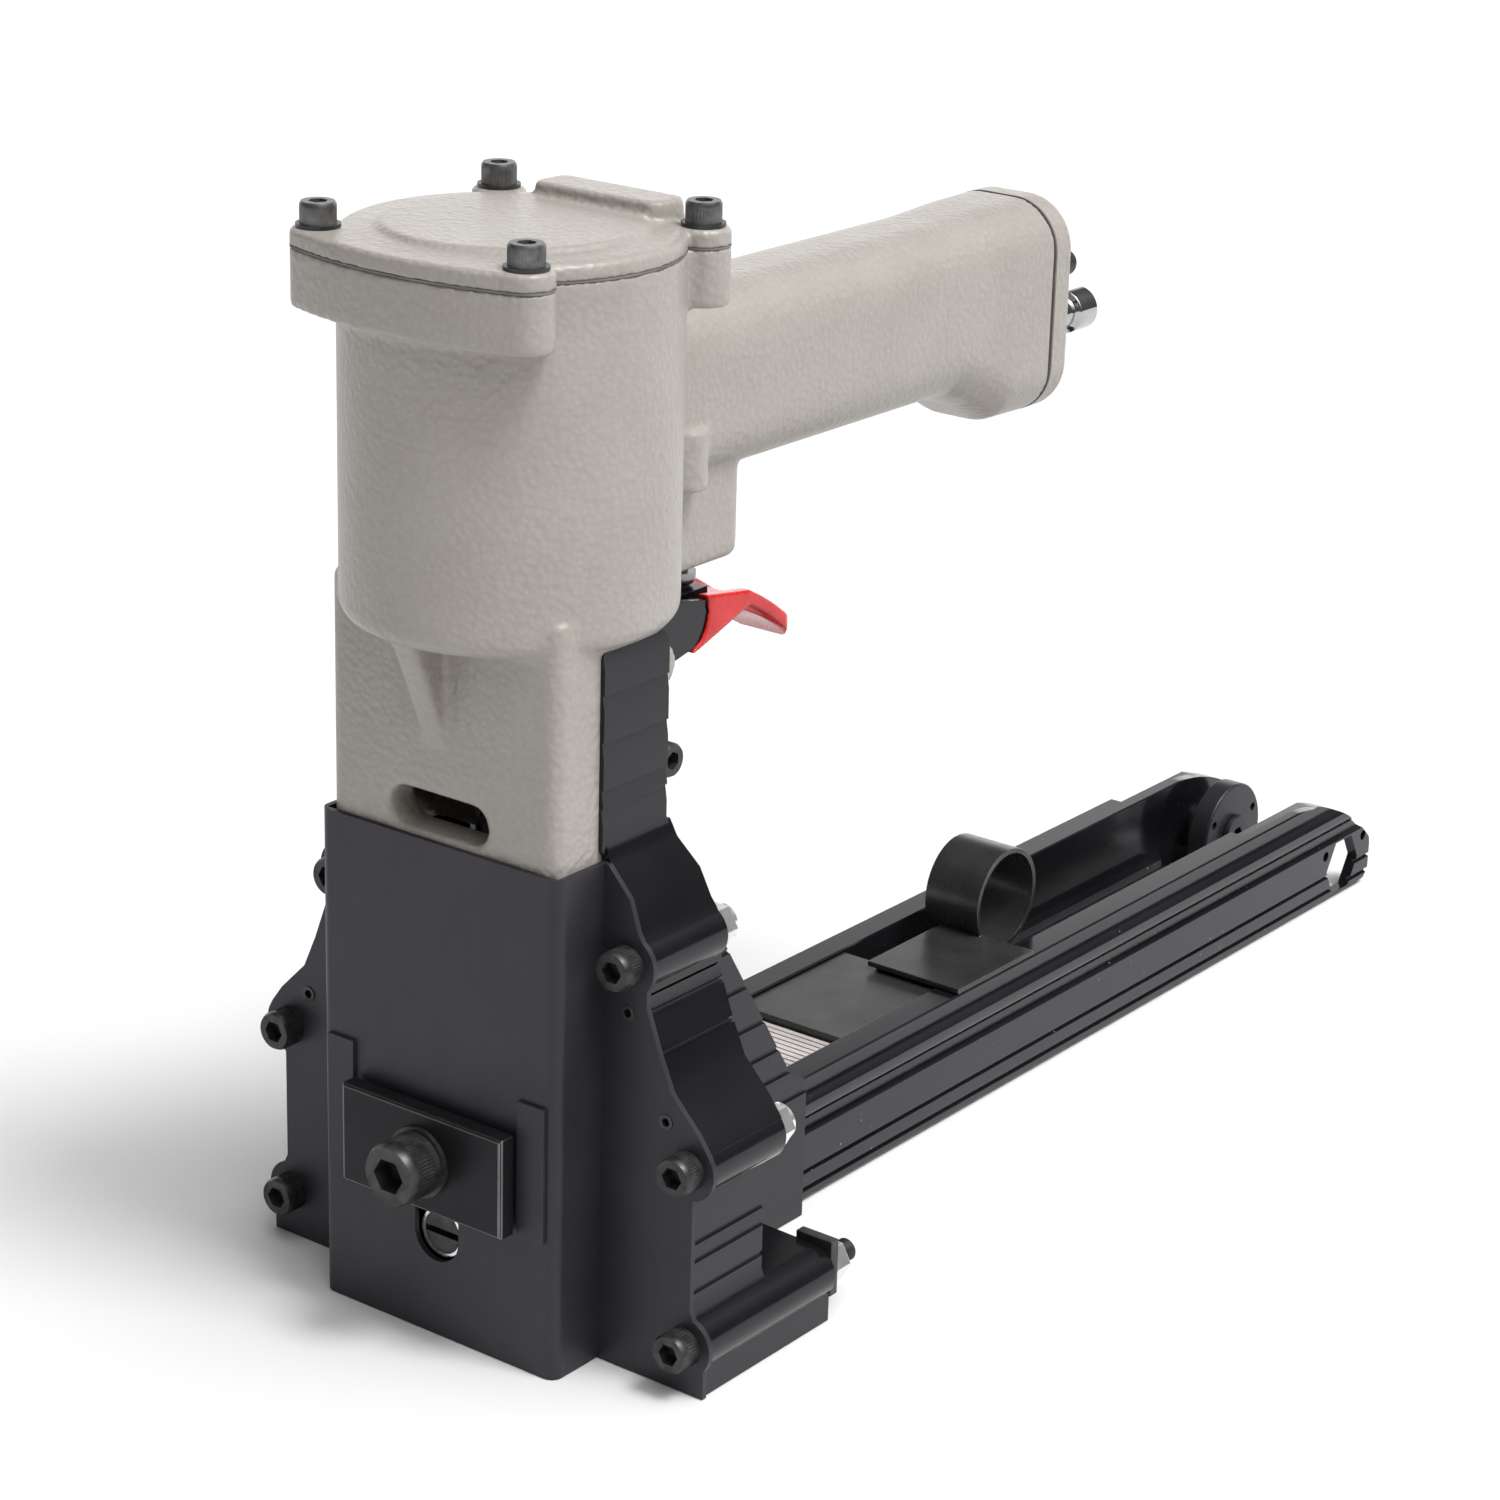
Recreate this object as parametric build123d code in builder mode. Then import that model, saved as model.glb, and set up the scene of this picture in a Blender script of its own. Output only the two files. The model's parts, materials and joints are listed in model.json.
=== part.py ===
from build123d import *
import os
from math import cos, radians, sin

os.makedirs("parts", exist_ok=True)

# Pneumatic carton stapler, in millimetres.
# The origin is the point where the staple leaves the nose, on the base plane.
# +X is to the right of the user, +Y runs back along the magazine, +Z is up.

# Clearances
slip = 0.3  # between faces that pass each other
run = 0.05  # radial, shaft in a running hole
bolt_gap = 0.1  # radial, screw shank in its hole

# Front cover, a pressed sheet box with two flanges
cover_width = 75.0
cover_height = 129.0
cover_face = 26.0  # front face, ahead of the driver plane
cover_sheet = 1.5
cover_gap = 0.5  # between the cover's sides and the nose
flange_face = 9.7  # flange front, ahead of the driver plane
cover_fold = 3.0

# Nose of the casting
nose_front = cover_face - cover_sheet
nose_half = cover_width / 2 - cover_sheet - cover_gap
nose_back = 14.0
nose_bottom = cover_height - 11.0
nose_wall = 4.5
nose_front_wall = 10.0
nose_corner = 4.0

# Cylinder and its flange; the cylinder is as long as the stroke needs and hangs from its top
stroke = 38.0
cylinder_radius = 40.0
cylinder_top = 267.2
cylinder_bore = 36.0
flange_bottom = cylinder_top - 13.7
liner_top = cylinder_top - 9.2
piston_height = 18.0
piston_bottom = liner_top - piston_height - 2.0
bumper_height = 10.0
bore_floor = piston_bottom - stroke - bumper_height
cylinder_bottom = bore_floor - 9.6
cap_bolt_x = 30.8
cap_bolt_y = 31.0
cap_ear = 6.5
cap_front = 42.5  # the flange bulges forward to here between its front ears
cap_bolt = 2.5

# Clamp lugs behind the nose
nose_height = cylinder_bottom - nose_bottom
clamp_y = nose_back + 4.5
clamp_z = nose_bottom + 0.449 * nose_height
clamp_bolt = 2.5
clamp_lug_outer = 30.0
clamp_lug_inner = 22.0

# Handle, a hollow grip that holds the air supply
handle_width = 36.0
handle_height = 46.5
handle_axis = cylinder_top - 42.0
handle_corner = 14.0
handle_wall = 5.0
flare_start = 161.0
flare_end = 182.0
handle_end = 199.4
butt_width = 38.0
butt_top = handle_axis + 24.3
butt_bottom = handle_axis - 34.2

# Trigger valve housing below the handle
valve_y = 64.0
valve_radius = 7.0
housing_half = 13.0
housing_back = 73.0
housing_bottom = bore_floor - 10.0
valve_port = 1.9  # radius of the way from the handle's air space to the valve
stem_radius = 2.2

# Driver, rod and liner; the crosshead waits just below the nose
blade_half = 17.0
blade_thick = 2.0
blade_tip = 38.0  # lower edge at rest
crosshead_top = nose_bottom - 3.0
crosshead_bottom = crosshead_top - 18.0
crosshead_half = 12.0
rod_radius = 8.0
liner_inner = 29.0
liner_wall = 3.0

# Clinchers, two curved claws that swing in under the work
claw_pivot_x = 23.0
claw_pivot_z = 26.0
claw_pin = 3.0
claw_outer = 34.5
claw_inner = 29.0
claw_thick = 6.0
claw_half_swing = 40.0  # degrees each side of level for the drive pin
drive_pin = 2.5
drive_pin_reach = stroke / 2 / sin(radians(claw_half_swing))

# Side frames
plate_thick = 1.3
plate_outer = nose_half + plate_thick
plate_front = -9.5
plate_back = nose_back + 0.2
plate_top = cylinder_bottom - 0.2
flare_top = clamp_z - 13.0  # clear of the clamp screws
frame_front = -(flange_face - cover_sheet)
frame_back = 19.5
frame_wall = 4.0
web_thick = 4.0
foot_back = 42.0
frame_bolt = 3.0
frame_boss = 7.0
upper_bolt = (cover_width / 2 + 7.5, 105.5)
middle_bolt = (cover_width / 2 + 26.5, 58.7)
lower_bolt = (cover_width / 2 + 26.5, 12.4)

# Magazine rails
channel_half = 17.6
rail_thick = 8.2
rail_outer = channel_half + rail_thick
rail_top = 36.6
rail_front = 8.3
rail_back = 394.5
rail_slope_start = 346.0
hex_y = 377.0
hex_z = 10.5
ledge_top = 15.6
ledge_width = 4.0

# Staples
wire_width = 2.3
wire_thick = 0.9
staple_count = 50
crown_half = channel_half - 0.2
leg_length = 18.0
crown_top = ledge_top + leg_length
strip_front = blade_thick / 2 + slip
strip_back = strip_front + staple_count * wire_width

# Ribbon spring that pulls the pusher forward, wound on a drum at the rear
drum_radius = 16.6
drum_y = rail_slope_start + 14.5
drum_z = drum_radius + 1.0
drum_left = -12.4
drum_width = 7.0
axle_radius = 4.0
ribbon_pin = 4.5
ribbon_pin_y = rail_front + 12.0
ribbon_pin_seat = 4.0  # depth of the pin's blind hole in each rail
ribbon_thick = 0.4
ribbon_side = 0.5  # the ribbon is narrower than the drum by this much on each side

# Pusher
pusher_length = 95.0
ring_radius = 15.0
ring_sheet = 1.5
ring_half = 9.0
ring_y = strip_back + 91.0
ring_z = 46.0

# Depth adjuster on the front cover
adjuster_half = 25.6
adjuster_depth = 6.0
adjuster_pad = 1.2  # thinner pad behind the block, which bears on the cover
adjuster_height = 26.0
adjuster_z = 49.1
adjuster_travel = 6.0
adjuster_gap = 0.1  # air on each face of the cover, so the block slides
adjuster_bolt = 5.0
slot_half = 7.0
slot_bottom = 20.0

# Trigger
trigger_pivot_y = 38.0
trigger_pivot_z = bore_floor - 30.0
trigger_pin = 2.5
trigger_half = 10.5
trigger_sheet = 2.0
trigger_top = trigger_pivot_z + 10.8
dip_skin = 0.8  # coating on the finger tab


def at_y(y):
    """A sketch plane with X to the right and Z up, at a distance y behind the driver plane."""
    return Plane.XZ.offset(-y)


def facing_front(x, y, z):
    """A place whose own Z points forward, for screws that go in from the front."""
    return Plane(origin=(x, y, z), x_dir=(1, 0, 0), z_dir=(0, -1, 0))


def facing_back(x, y, z):
    """A place whose own Z points back."""
    return Plane(origin=(x, y, z), x_dir=(1, 0, 0), z_dir=(0, 1, 0))


def socket_screw(radius, length, head_radius, head_height, key):
    """Socket head screw: its seat is at Z zero, the head stands up and the shank goes down."""
    with BuildPart() as screw:
        Cylinder(head_radius, head_height, align=(Align.CENTER, Align.CENTER, Align.MIN))
        chamfer(screw.faces().sort_by(Axis.Z)[-1].edges(), head_radius * 0.1)
        with BuildSketch(Plane.XY.offset(head_height)):
            RegularPolygon(key / 2, 6, major_radius=False)
        extrude(amount=-head_height * 0.55, mode=Mode.SUBTRACT)
        Cylinder(radius, length, align=(Align.CENTER, Align.CENTER, Align.MAX))
    return screw.part


def ring(outer, inner, thick):
    """A plain washer or sleeve standing on Z zero."""
    with BuildPart() as washer:
        Cylinder(outer, thick, align=(Align.CENTER, Align.CENTER, Align.MIN))
        Cylinder(inner, thick, align=(Align.CENTER, Align.CENTER, Align.MIN), mode=Mode.SUBTRACT)
    return washer.part


def coil_spring(radius, wire, height, turns):
    """Compression spring standing on Z zero: one wire swept along half turns, each a tilted arc."""
    pitch = (height - 2 * wire) / turns
    with BuildPart() as spring:
        with BuildLine() as path:
            for half in range(2 * turns):
                side = 1 if half % 2 == 0 else -1
                low = wire + half * pitch / 2
                ThreePointArc(
                    (side * radius, 0, low),
                    (0, side * radius, low + pitch / 4),
                    (-side * radius, 0, low + pitch / 2),
                )
        with BuildSketch(Plane(origin=path.line @ 0, z_dir=path.line % 0)):
            Circle(wire)
        sweep(path=path.line)
    print("spring of radius", radius, "has a gap between turns of", round(pitch - 2 * wire, 2))
    return spring.part


def flare_points(extra):
    """Outer outline of the flared side, right half, from the foot up to the straight plate."""
    bolt_x, bolt_z = upper_bolt
    wide_x, wide_z = middle_bolt
    foot_x = lower_bolt[0] + 5.2
    return [
        (foot_x + extra, 0),
        (foot_x + extra, lower_bolt[1]),
        (wide_x + 0.8 + extra, lower_bolt[1] + 9.6),
        (wide_x + 0.8 + extra, wide_z - 2.7),
        (wide_x + 5.5 + extra, wide_z + 4.8),
        (wide_x + 2.0 + extra, wide_z + 9.6),
        (wide_x - 6.0 + extra, wide_z + 17.8),
        (wide_x - 9.8 + extra, wide_z + 26.3),
        (bolt_x + 5.0 + extra, bolt_z - 9.2),
        (bolt_x + 5.6 + extra, bolt_z + 3.0),
        (bolt_x + 2.0 + extra, bolt_z + 9.0),
        (bolt_x - 0.5 + extra, bolt_z + 16.5),
    ]


both_sides = [1, -1]
frame_bolts = [upper_bolt, middle_bolt, lower_bolt]
cap_bolt_places = [(x * cap_bolt_x, y * cap_bolt_y) for x in both_sides for y in both_sides]

# Body casting: cylinder, nose, handle and valve housing in one hollow casting
handle_half_height = handle_height / 2
plug_z = handle_axis - 14.2
plug_bore = 3.0
plug_thread = 6.5
end_cap_thick = 8.5
end_gasket = 0.6
end_bolt = 2.0
upper_end_bolt = (14.0, handle_axis + 5.8)
lower_end_bolt = (10.0, handle_axis - 27.7)
end_bolts = [(side * x, z) for x, z in (upper_end_bolt, lower_end_bolt) for side in both_sides]
butt_floor = 10.0  # solid end of the handle that takes the end cap's screws
lug_inner = trigger_half + 0.5
lug_outer = lug_inner + 4.5
bush_radius = 12.0
bush_floor = bore_floor - 18.0
window_x = -1.0  # the window and the gusset sit a little left of the middle
window_z = nose_bottom + 0.276 * nose_height
window_length = 30.5
window_height = 10.0
gusset_x = -1.7
gusset_half = 3.5
gusset_foot = nose_bottom + 0.545 * nose_height
handle_root = 30.0  # the handle starts this far behind the cylinder's axis, inside it
merge = 8.0  # how far joined masses of the casting run into each other
base_round = 4.0
housing_round = 3.0
housing_corner = 5.0
lug_radius = 6.0
passage_radius = 8.0
cap_hole_depth = 12.0
boss_x = 14.0
boss_y = 46.0
boss_radius = 6.5
boss_bottom = handle_axis - 22.2
boss_height = 15.0
handle_stations = [
    (handle_root, handle_width, handle_axis - handle_half_height, handle_axis + handle_half_height),
    (flare_start, handle_width, handle_axis - handle_half_height, handle_axis + handle_half_height),
    ((flare_start + flare_end) / 2, handle_width + 0.6, butt_bottom + 6.4, butt_top - 0.6),
    (flare_end, butt_width - 0.4, butt_bottom + 0.4, butt_top - 0.2),
    (handle_end, butt_width, butt_bottom, butt_top),
]


def cap_ears():
    """Front bar with its two ears, and the two rear ears; the front arc touches both front ears."""
    reach = cap_front - cap_ear
    arc_centre = (cap_bolt_x**2 + cap_bolt_y**2 - reach**2) / (2 * (reach - cap_bolt_y))
    span = reach + arc_centre
    touch_x = cap_bolt_x * (1 + cap_ear / span)
    touch_y = -cap_bolt_y - cap_ear * (cap_bolt_y + arc_centre) / span
    rear_y = -cap_bolt_y + cap_ear
    with BuildLine() as front_bar:
        ThreePointArc((-touch_x, touch_y), (0, -cap_front), (touch_x, touch_y))
        Polyline(
            (touch_x, touch_y),
            (cap_bolt_x, -cap_bolt_y),
            (cap_bolt_x, rear_y),
            (-cap_bolt_x, rear_y),
            (-cap_bolt_x, -cap_bolt_y),
            (-touch_x, touch_y),
        )
    make_face(front_bar.edges())
    with Locations(*cap_bolt_places):
        Circle(cap_ear)


def cap_outline():
    """Outline shared by the cylinder's flange and the gasket."""
    Circle(cylinder_radius)
    cap_ears()


with BuildPart() as body_casting:
    with Locations((0, 0, cylinder_bottom)):
        Cylinder(
            cylinder_radius,
            cylinder_top - cylinder_bottom,
            align=(Align.CENTER, Align.CENTER, Align.MIN),
        )
    fillet(body_casting.faces().sort_by(Axis.Z)[0].edges(), base_round)
    with BuildSketch(Plane.XY.offset(flange_bottom)):
        cap_outline()
    extrude(amount=cylinder_top - flange_bottom)
    # Nose box
    with BuildSketch(Plane.XY.offset(nose_bottom)):
        with Locations((0, (nose_back - nose_front) / 2)):
            RectangleRounded(2 * nose_half, nose_front + nose_back, nose_corner)
    extrude(amount=cylinder_bottom + merge - nose_bottom)
    # Gusset under the front of the cylinder
    with BuildSketch(Plane.YZ.offset(gusset_x)):
        with BuildLine():
            Polyline(
                (-nose_front + 1, gusset_foot),
                (-nose_front, gusset_foot),
                (-cylinder_radius + 4, cylinder_bottom),
                (-cylinder_radius + 4, cylinder_bottom + base_round),
                (-nose_front + 1, cylinder_bottom + base_round),
                close=True,
            )
        make_face()
    extrude(amount=gusset_half, both=True)
    # Handle, one straight run and a flared butt
    for start, end in zip(handle_stations, handle_stations[1:]):
        for y, width, low, high in (start, end):
            with BuildSketch(at_y(y)):
                with Locations((0, (low + high) / 2)):
                    RectangleRounded(width, high - low, handle_corner)
        loft(ruled=True)
    # Valve housing
    with BuildSketch(Plane.XY.offset(housing_bottom)):
        with Locations((0, (handle_root + housing_back) / 2)):
            RectangleRounded(2 * housing_half, housing_back - handle_root, housing_corner)
    extrude(amount=handle_axis - handle_half_height + merge - housing_bottom)
    fillet(
        body_casting.edges()
        .filter_by_position(Axis.Z, housing_bottom - 0.01, housing_bottom + 0.01)
        .filter_by_position(Axis.Y, cylinder_radius + merge, housing_back + 1),
        housing_round,
    )
    # Side bosses where the handle meets the cylinder
    for side in both_sides:
        with BuildSketch(Plane.XY.offset(boss_bottom)):
            with Locations((side * boss_x, boss_y)):
                Circle(boss_radius)
        extrude(amount=boss_height)
    # Trigger lugs and clamp lugs at the back of the nose
    for side in both_sides:
        with BuildSketch(Plane.YZ.offset(side * (lug_inner + lug_outer) / 2)):
            with Locations((trigger_pivot_y, trigger_pivot_z)):
                Circle(lug_radius)
            with Locations(((trigger_pivot_y + nose_back - 2) / 2, trigger_pivot_z)):
                Rectangle(trigger_pivot_y - nose_back + 2, 2 * lug_radius)
        extrude(amount=(lug_outer - lug_inner) / 2, both=True)
        with BuildSketch(Plane.YZ.offset(side * (clamp_lug_inner + clamp_lug_outer) / 2)):
            with Locations((clamp_y, clamp_z)):
                Circle(lug_radius)
            with Locations(((clamp_y + nose_back - 2) / 2, clamp_z)):
                Rectangle(clamp_y - nose_back + 2, 2 * lug_radius)
        extrude(amount=(clamp_lug_outer - clamp_lug_inner) / 2, both=True)
    # Bore, rod bush seat and nose cavity
    with BuildSketch(Plane.XY.offset(bore_floor)):
        Circle(cylinder_bore)
    extrude(amount=cylinder_top - bore_floor, mode=Mode.SUBTRACT)
    with BuildSketch(Plane.XY.offset(bush_floor)):
        Circle(bush_radius)
    extrude(amount=bore_floor - bush_floor, mode=Mode.SUBTRACT)
    with BuildSketch(Plane.XY.offset(nose_bottom)):
        with Locations((0, (nose_back - nose_wall - nose_front + nose_front_wall) / 2)):
            Rectangle(
                2 * (nose_half - nose_wall), nose_front + nose_back - nose_wall - nose_front_wall
            )
    extrude(amount=bush_floor - nose_bottom, mode=Mode.SUBTRACT)
    # Inspection window in the front of the nose
    with BuildSketch(at_y(-nose_front - 1)):
        with Locations((window_x, window_z)):
            SlotOverall(window_length, window_height)
    extrude(amount=-(nose_front_wall + 2), mode=Mode.SUBTRACT)
    # Air space in the handle, its passages and the valve bore
    with BuildSketch(at_y(handle_end - butt_floor)):
        with Locations((0, handle_axis)):
            RectangleRounded(
                handle_width - 2 * handle_wall,
                handle_height - 2 * handle_wall,
                handle_corner - handle_wall,
            )
    extrude(amount=handle_end - butt_floor - cylinder_radius - merge + 2, mode=Mode.SUBTRACT)
    with BuildSketch(at_y(cylinder_radius + merge)):
        with Locations((0, handle_axis)):
            Circle(passage_radius)
    extrude(amount=cylinder_radius + merge - cylinder_bore + 3, mode=Mode.SUBTRACT)
    with BuildSketch(at_y(handle_end)):
        with Locations((0, plug_z)):
            Circle(plug_thread)
    extrude(amount=butt_floor + 1, mode=Mode.SUBTRACT)
    with BuildSketch(Plane.XY.offset(housing_bottom)):
        with Locations((0, valve_y)):
            Circle(valve_radius)
    extrude(amount=handle_axis - handle_half_height + 1 - housing_bottom, mode=Mode.SUBTRACT)
    with BuildSketch(Plane.XY.offset(housing_bottom)):
        with Locations((0, valve_y)):
            Circle(valve_port)
    extrude(amount=handle_axis - housing_bottom, mode=Mode.SUBTRACT)
    # Screw and pin holes
    with BuildSketch(Plane.XY.offset(cylinder_top)):
        with Locations(*cap_bolt_places):
            Circle(cap_bolt + bolt_gap)
    extrude(amount=-cap_hole_depth, mode=Mode.SUBTRACT)
    with BuildSketch(at_y(handle_end)):
        with Locations(*end_bolts):
            Circle(end_bolt + bolt_gap)
    extrude(amount=butt_floor - 2, mode=Mode.SUBTRACT)
    with BuildSketch(Plane.YZ):
        with Locations((trigger_pivot_y, trigger_pivot_z)):
            Circle(trigger_pin)
    extrude(amount=lug_outer + 1, both=True, mode=Mode.SUBTRACT)
    with BuildSketch(Plane.YZ):
        with Locations((clamp_y, clamp_z)):
            Circle(clamp_bolt + bolt_gap)
    extrude(amount=clamp_lug_outer + 1, both=True, mode=Mode.SUBTRACT)
body_casting.part.label = "body_casting"
export_step(body_casting.part, "parts/body_casting.step")

# Cylinder cap with its raised disc and the exhaust hood at the back
gasket_thick = 0.5
cap_bottom = cylinder_top + gasket_thick
cap_plate = 4.0
cap_disc = 30.0
cap_rise = 1.5
cap_edge = 0.8
hood_top = cap_bottom + 8.5
cap_recess = 2.0
hood_left = -16.5
hood_right = 22.5
hood_front = 24.0
hood_back = 37.5
hood_corner = 4.0
hood_draft = 8.0  # degrees
hood_round = 1.2
exhaust_height = 2.4
exhaust_depth = 8.0
exhaust_side = 5.0  # metal left on each side of the exhaust slot
cap_screw_length = 16.0
m5_head = 4.25

with BuildPart() as cap_gasket:
    with BuildSketch(Plane.XY.offset(cylinder_top)):
        cap_outline()
        Circle(cylinder_bore, mode=Mode.SUBTRACT)
        with Locations(*cap_bolt_places):
            Circle(cap_bolt + bolt_gap, mode=Mode.SUBTRACT)
    extrude(amount=gasket_thick)
cap_gasket.part.label = "cap_gasket"
export_step(cap_gasket.part, "parts/cap_gasket.step")

with BuildPart() as cylinder_cap:
    # Round cap with a sloped shoulder and a raised disc
    with BuildSketch(Plane.XZ):
        with BuildLine():
            Polyline(
                (0, cap_bottom),
                (cylinder_radius, cap_bottom),
                (cylinder_radius, cap_bottom + cap_plate - 1.6),
                (cylinder_radius - 0.6, cap_bottom + cap_plate - 0.7),
                (cylinder_radius - 2.0, cap_bottom + cap_plate),
                (cap_disc + cap_rise, cap_bottom + cap_plate + 0.3),
                (cap_disc, cap_bottom + cap_plate + cap_rise),
                (0, cap_bottom + cap_plate + cap_rise),
                close=True,
            )
        make_face()
    revolve(axis=Axis.Z)
    with BuildSketch(Plane.XY.offset(cap_bottom)):
        cap_ears()
    extrude(amount=cap_plate - cap_edge)
    with BuildSketch(Plane.XY.offset(cap_bottom + cap_plate - cap_edge)):
        cap_ears()
    extrude(amount=cap_edge, taper=45)
    with BuildSketch(Plane.XY.offset(cap_bottom + cap_plate - 1)):
        with Locations(((hood_left + hood_right) / 2, (hood_front + hood_back) / 2)):
            RectangleRounded(hood_right - hood_left, hood_back - hood_front, hood_corner)
    extrude(amount=hood_top - cap_bottom - cap_plate + 1, taper=hood_draft)
    fillet(cylinder_cap.faces().sort_by(Axis.Z)[-1].edges(), hood_round)
    with BuildSketch(Plane.XY.offset(cap_bottom)):
        Circle(cylinder_bore - 2)
    extrude(amount=cap_recess, mode=Mode.SUBTRACT)
    with BuildSketch(at_y(hood_back + 1)):
        with Locations(((hood_left + hood_right) / 2, cap_bottom + cap_plate + exhaust_height / 2)):
            Rectangle(hood_right - hood_left - 2 * exhaust_side, exhaust_height)
    extrude(amount=exhaust_depth, mode=Mode.SUBTRACT)
    with BuildSketch(Plane.XY.offset(cap_bottom)):
        with Locations(*cap_bolt_places):
            Circle(cap_bolt + bolt_gap)
    extrude(amount=cap_plate + 1, mode=Mode.SUBTRACT)
cylinder_cap.part.label = "cylinder_cap"
export_step(cylinder_cap.part, "parts/cylinder_cap.step")

cap_washer_thick = 0.9
cap_seat = cap_bottom + cap_plate + cap_washer_thick
cap_screw = socket_screw(cap_bolt, cap_screw_length, m5_head, 5.0, 4.0)
cap_washer = ring(5.2, cap_bolt + bolt_gap, cap_washer_thick)
with BuildPart() as cap_screws:
    with Locations(*[(x, y, cap_seat) for x, y in cap_bolt_places]):
        add(cap_screw)
cap_screws.part.label = "cap_screws"
export_step(cap_screws.part, "parts/cap_screws.step")

with BuildPart() as cap_washers:
    with Locations(*[(x, y, cap_bottom + cap_plate) for x, y in cap_bolt_places]):
        add(cap_washer)
cap_washers.part.label = "cap_washers"
export_step(cap_washers.part, "parts/cap_washers.step")

# End cap of the handle, with the air plug
butt_middle = (butt_top + butt_bottom) / 2
butt_height = butt_top - butt_bottom

with BuildPart() as end_cap_gasket:
    with BuildSketch(at_y(handle_end)):
        with Locations((0, butt_middle)):
            RectangleRounded(butt_width, butt_height, handle_corner)
        with Locations((0, plug_z)):
            Circle(plug_thread, mode=Mode.SUBTRACT)
        with Locations(*end_bolts):
            Circle(end_bolt + bolt_gap, mode=Mode.SUBTRACT)
    extrude(amount=-end_gasket)
end_cap_gasket.part.label = "end_cap_gasket"
export_step(end_cap_gasket.part, "parts/end_cap_gasket.step")

end_cap_front = handle_end + end_gasket
end_cap_back = end_cap_front + end_cap_thick
with BuildPart() as handle_end_cap:
    with BuildSketch(at_y(end_cap_front)):
        with Locations((0, butt_middle)):
            RectangleRounded(butt_width, butt_height, handle_corner)
    extrude(amount=-end_cap_thick)
    fillet(handle_end_cap.faces().sort_by(Axis.Y)[-1].edges(), 3.0)
    with BuildSketch(at_y(end_cap_back)):
        with Locations((0, plug_z)):
            Circle(plug_thread)
    extrude(amount=end_cap_thick, mode=Mode.SUBTRACT)
    with BuildSketch(at_y(end_cap_back)):
        with Locations(*end_bolts):
            Circle(end_bolt + bolt_gap)
    extrude(amount=end_cap_thick, mode=Mode.SUBTRACT)
handle_end_cap.part.label = "handle_end_cap"
export_step(handle_end_cap.part, "parts/handle_end_cap.step")

end_screw = socket_screw(end_bolt, end_cap_thick + end_gasket + 6.0, 3.5, 4.0, 3.0)
with BuildPart() as end_cap_screws:
    with Locations(*[facing_back(x, end_cap_back, z) for x, z in end_bolts]):
        add(end_screw)
end_cap_screws.part.label = "end_cap_screws"
export_step(end_cap_screws.part, "parts/end_cap_screws.step")

plug_hex = 15.0
plug_tip_radius = 6.0
plug_tip_length = 9.0
plug_length = 35.0
plug_hex_length = 8.0
plug_collar_end = 17.0
plug_neck = 4.4
with BuildPart() as air_plug:
    with BuildSketch(Plane.YZ):
        with BuildLine():
            Polyline(
                (end_cap_front, plug_bore),
                (end_cap_front, plug_thread),
                (end_cap_back, plug_thread),
                (end_cap_back, plug_hex / 2 - 0.5),
                (end_cap_back + plug_hex_length, plug_hex / 2 - 0.5),
                (end_cap_back + plug_hex_length + 1, plug_thread - 0.5),
                (end_cap_back + plug_collar_end, plug_thread - 0.5),
                (end_cap_back + plug_collar_end + 2, plug_neck),
                (end_cap_back + plug_length - plug_tip_length - 1, plug_neck),
                (end_cap_back + plug_length - plug_tip_length, plug_tip_radius),
                (end_cap_back + plug_length - 1, plug_tip_radius),
                (end_cap_back + plug_length, plug_tip_radius - 1),
                (end_cap_back + plug_length, plug_bore),
                close=True,
            )
        make_face()
    revolve(axis=Axis.Y)
    with BuildSketch(at_y(end_cap_back)):
        RegularPolygon(plug_hex / 2, 6, major_radius=False)
        Circle(plug_bore, mode=Mode.SUBTRACT)
    extrude(amount=-plug_hex_length)
air_plug.part.locate(Location((0, 0, plug_z)))
air_plug.part.label = "air_plug"
export_step(air_plug.part, "parts/air_plug.step")

# Cylinder liner, seals, bumper and rod bush
liner_outer = liner_inner + liner_wall
collar_height = 8.0
seal_wire = 1.2
collar_below_passage = 2.0  # the upper collar parts the supply air above it from the return air
collar_levels = [bore_floor, handle_axis - passage_radius - collar_below_passage - collar_height]
groove_slack = 0.2  # a seal's groove is taller than the seal by this much
liner_groove = ring(cylinder_bore + 1, cylinder_bore - 2 * seal_wire, 2 * seal_wire + groove_slack)
with BuildPart() as cylinder_liner:
    with Locations((0, 0, bore_floor)):
        Cylinder(liner_outer, liner_top - bore_floor, align=(Align.CENTER, Align.CENTER, Align.MIN))
    for level in collar_levels:
        with Locations((0, 0, level)):
            Cylinder(cylinder_bore, collar_height, align=(Align.CENTER, Align.CENTER, Align.MIN))
    Cylinder(
        liner_inner, liner_top + 1, align=(Align.CENTER, Align.CENTER, Align.MIN), mode=Mode.SUBTRACT
    )
    for level in collar_levels:
        with Locations((0, 0, level + collar_height / 2 - seal_wire - groove_slack / 2)):
            add(liner_groove, mode=Mode.SUBTRACT)
cylinder_liner.part.label = "cylinder_liner"
export_step(cylinder_liner.part, "parts/cylinder_liner.step")

with BuildPart() as liner_seals:
    for level in collar_levels:
        with Locations((0, 0, level + collar_height / 2)):
            Torus(cylinder_bore - seal_wire, seal_wire)
liner_seals.part.label = "liner_seals"
export_step(liner_seals.part, "parts/liner_seals.step")

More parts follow.
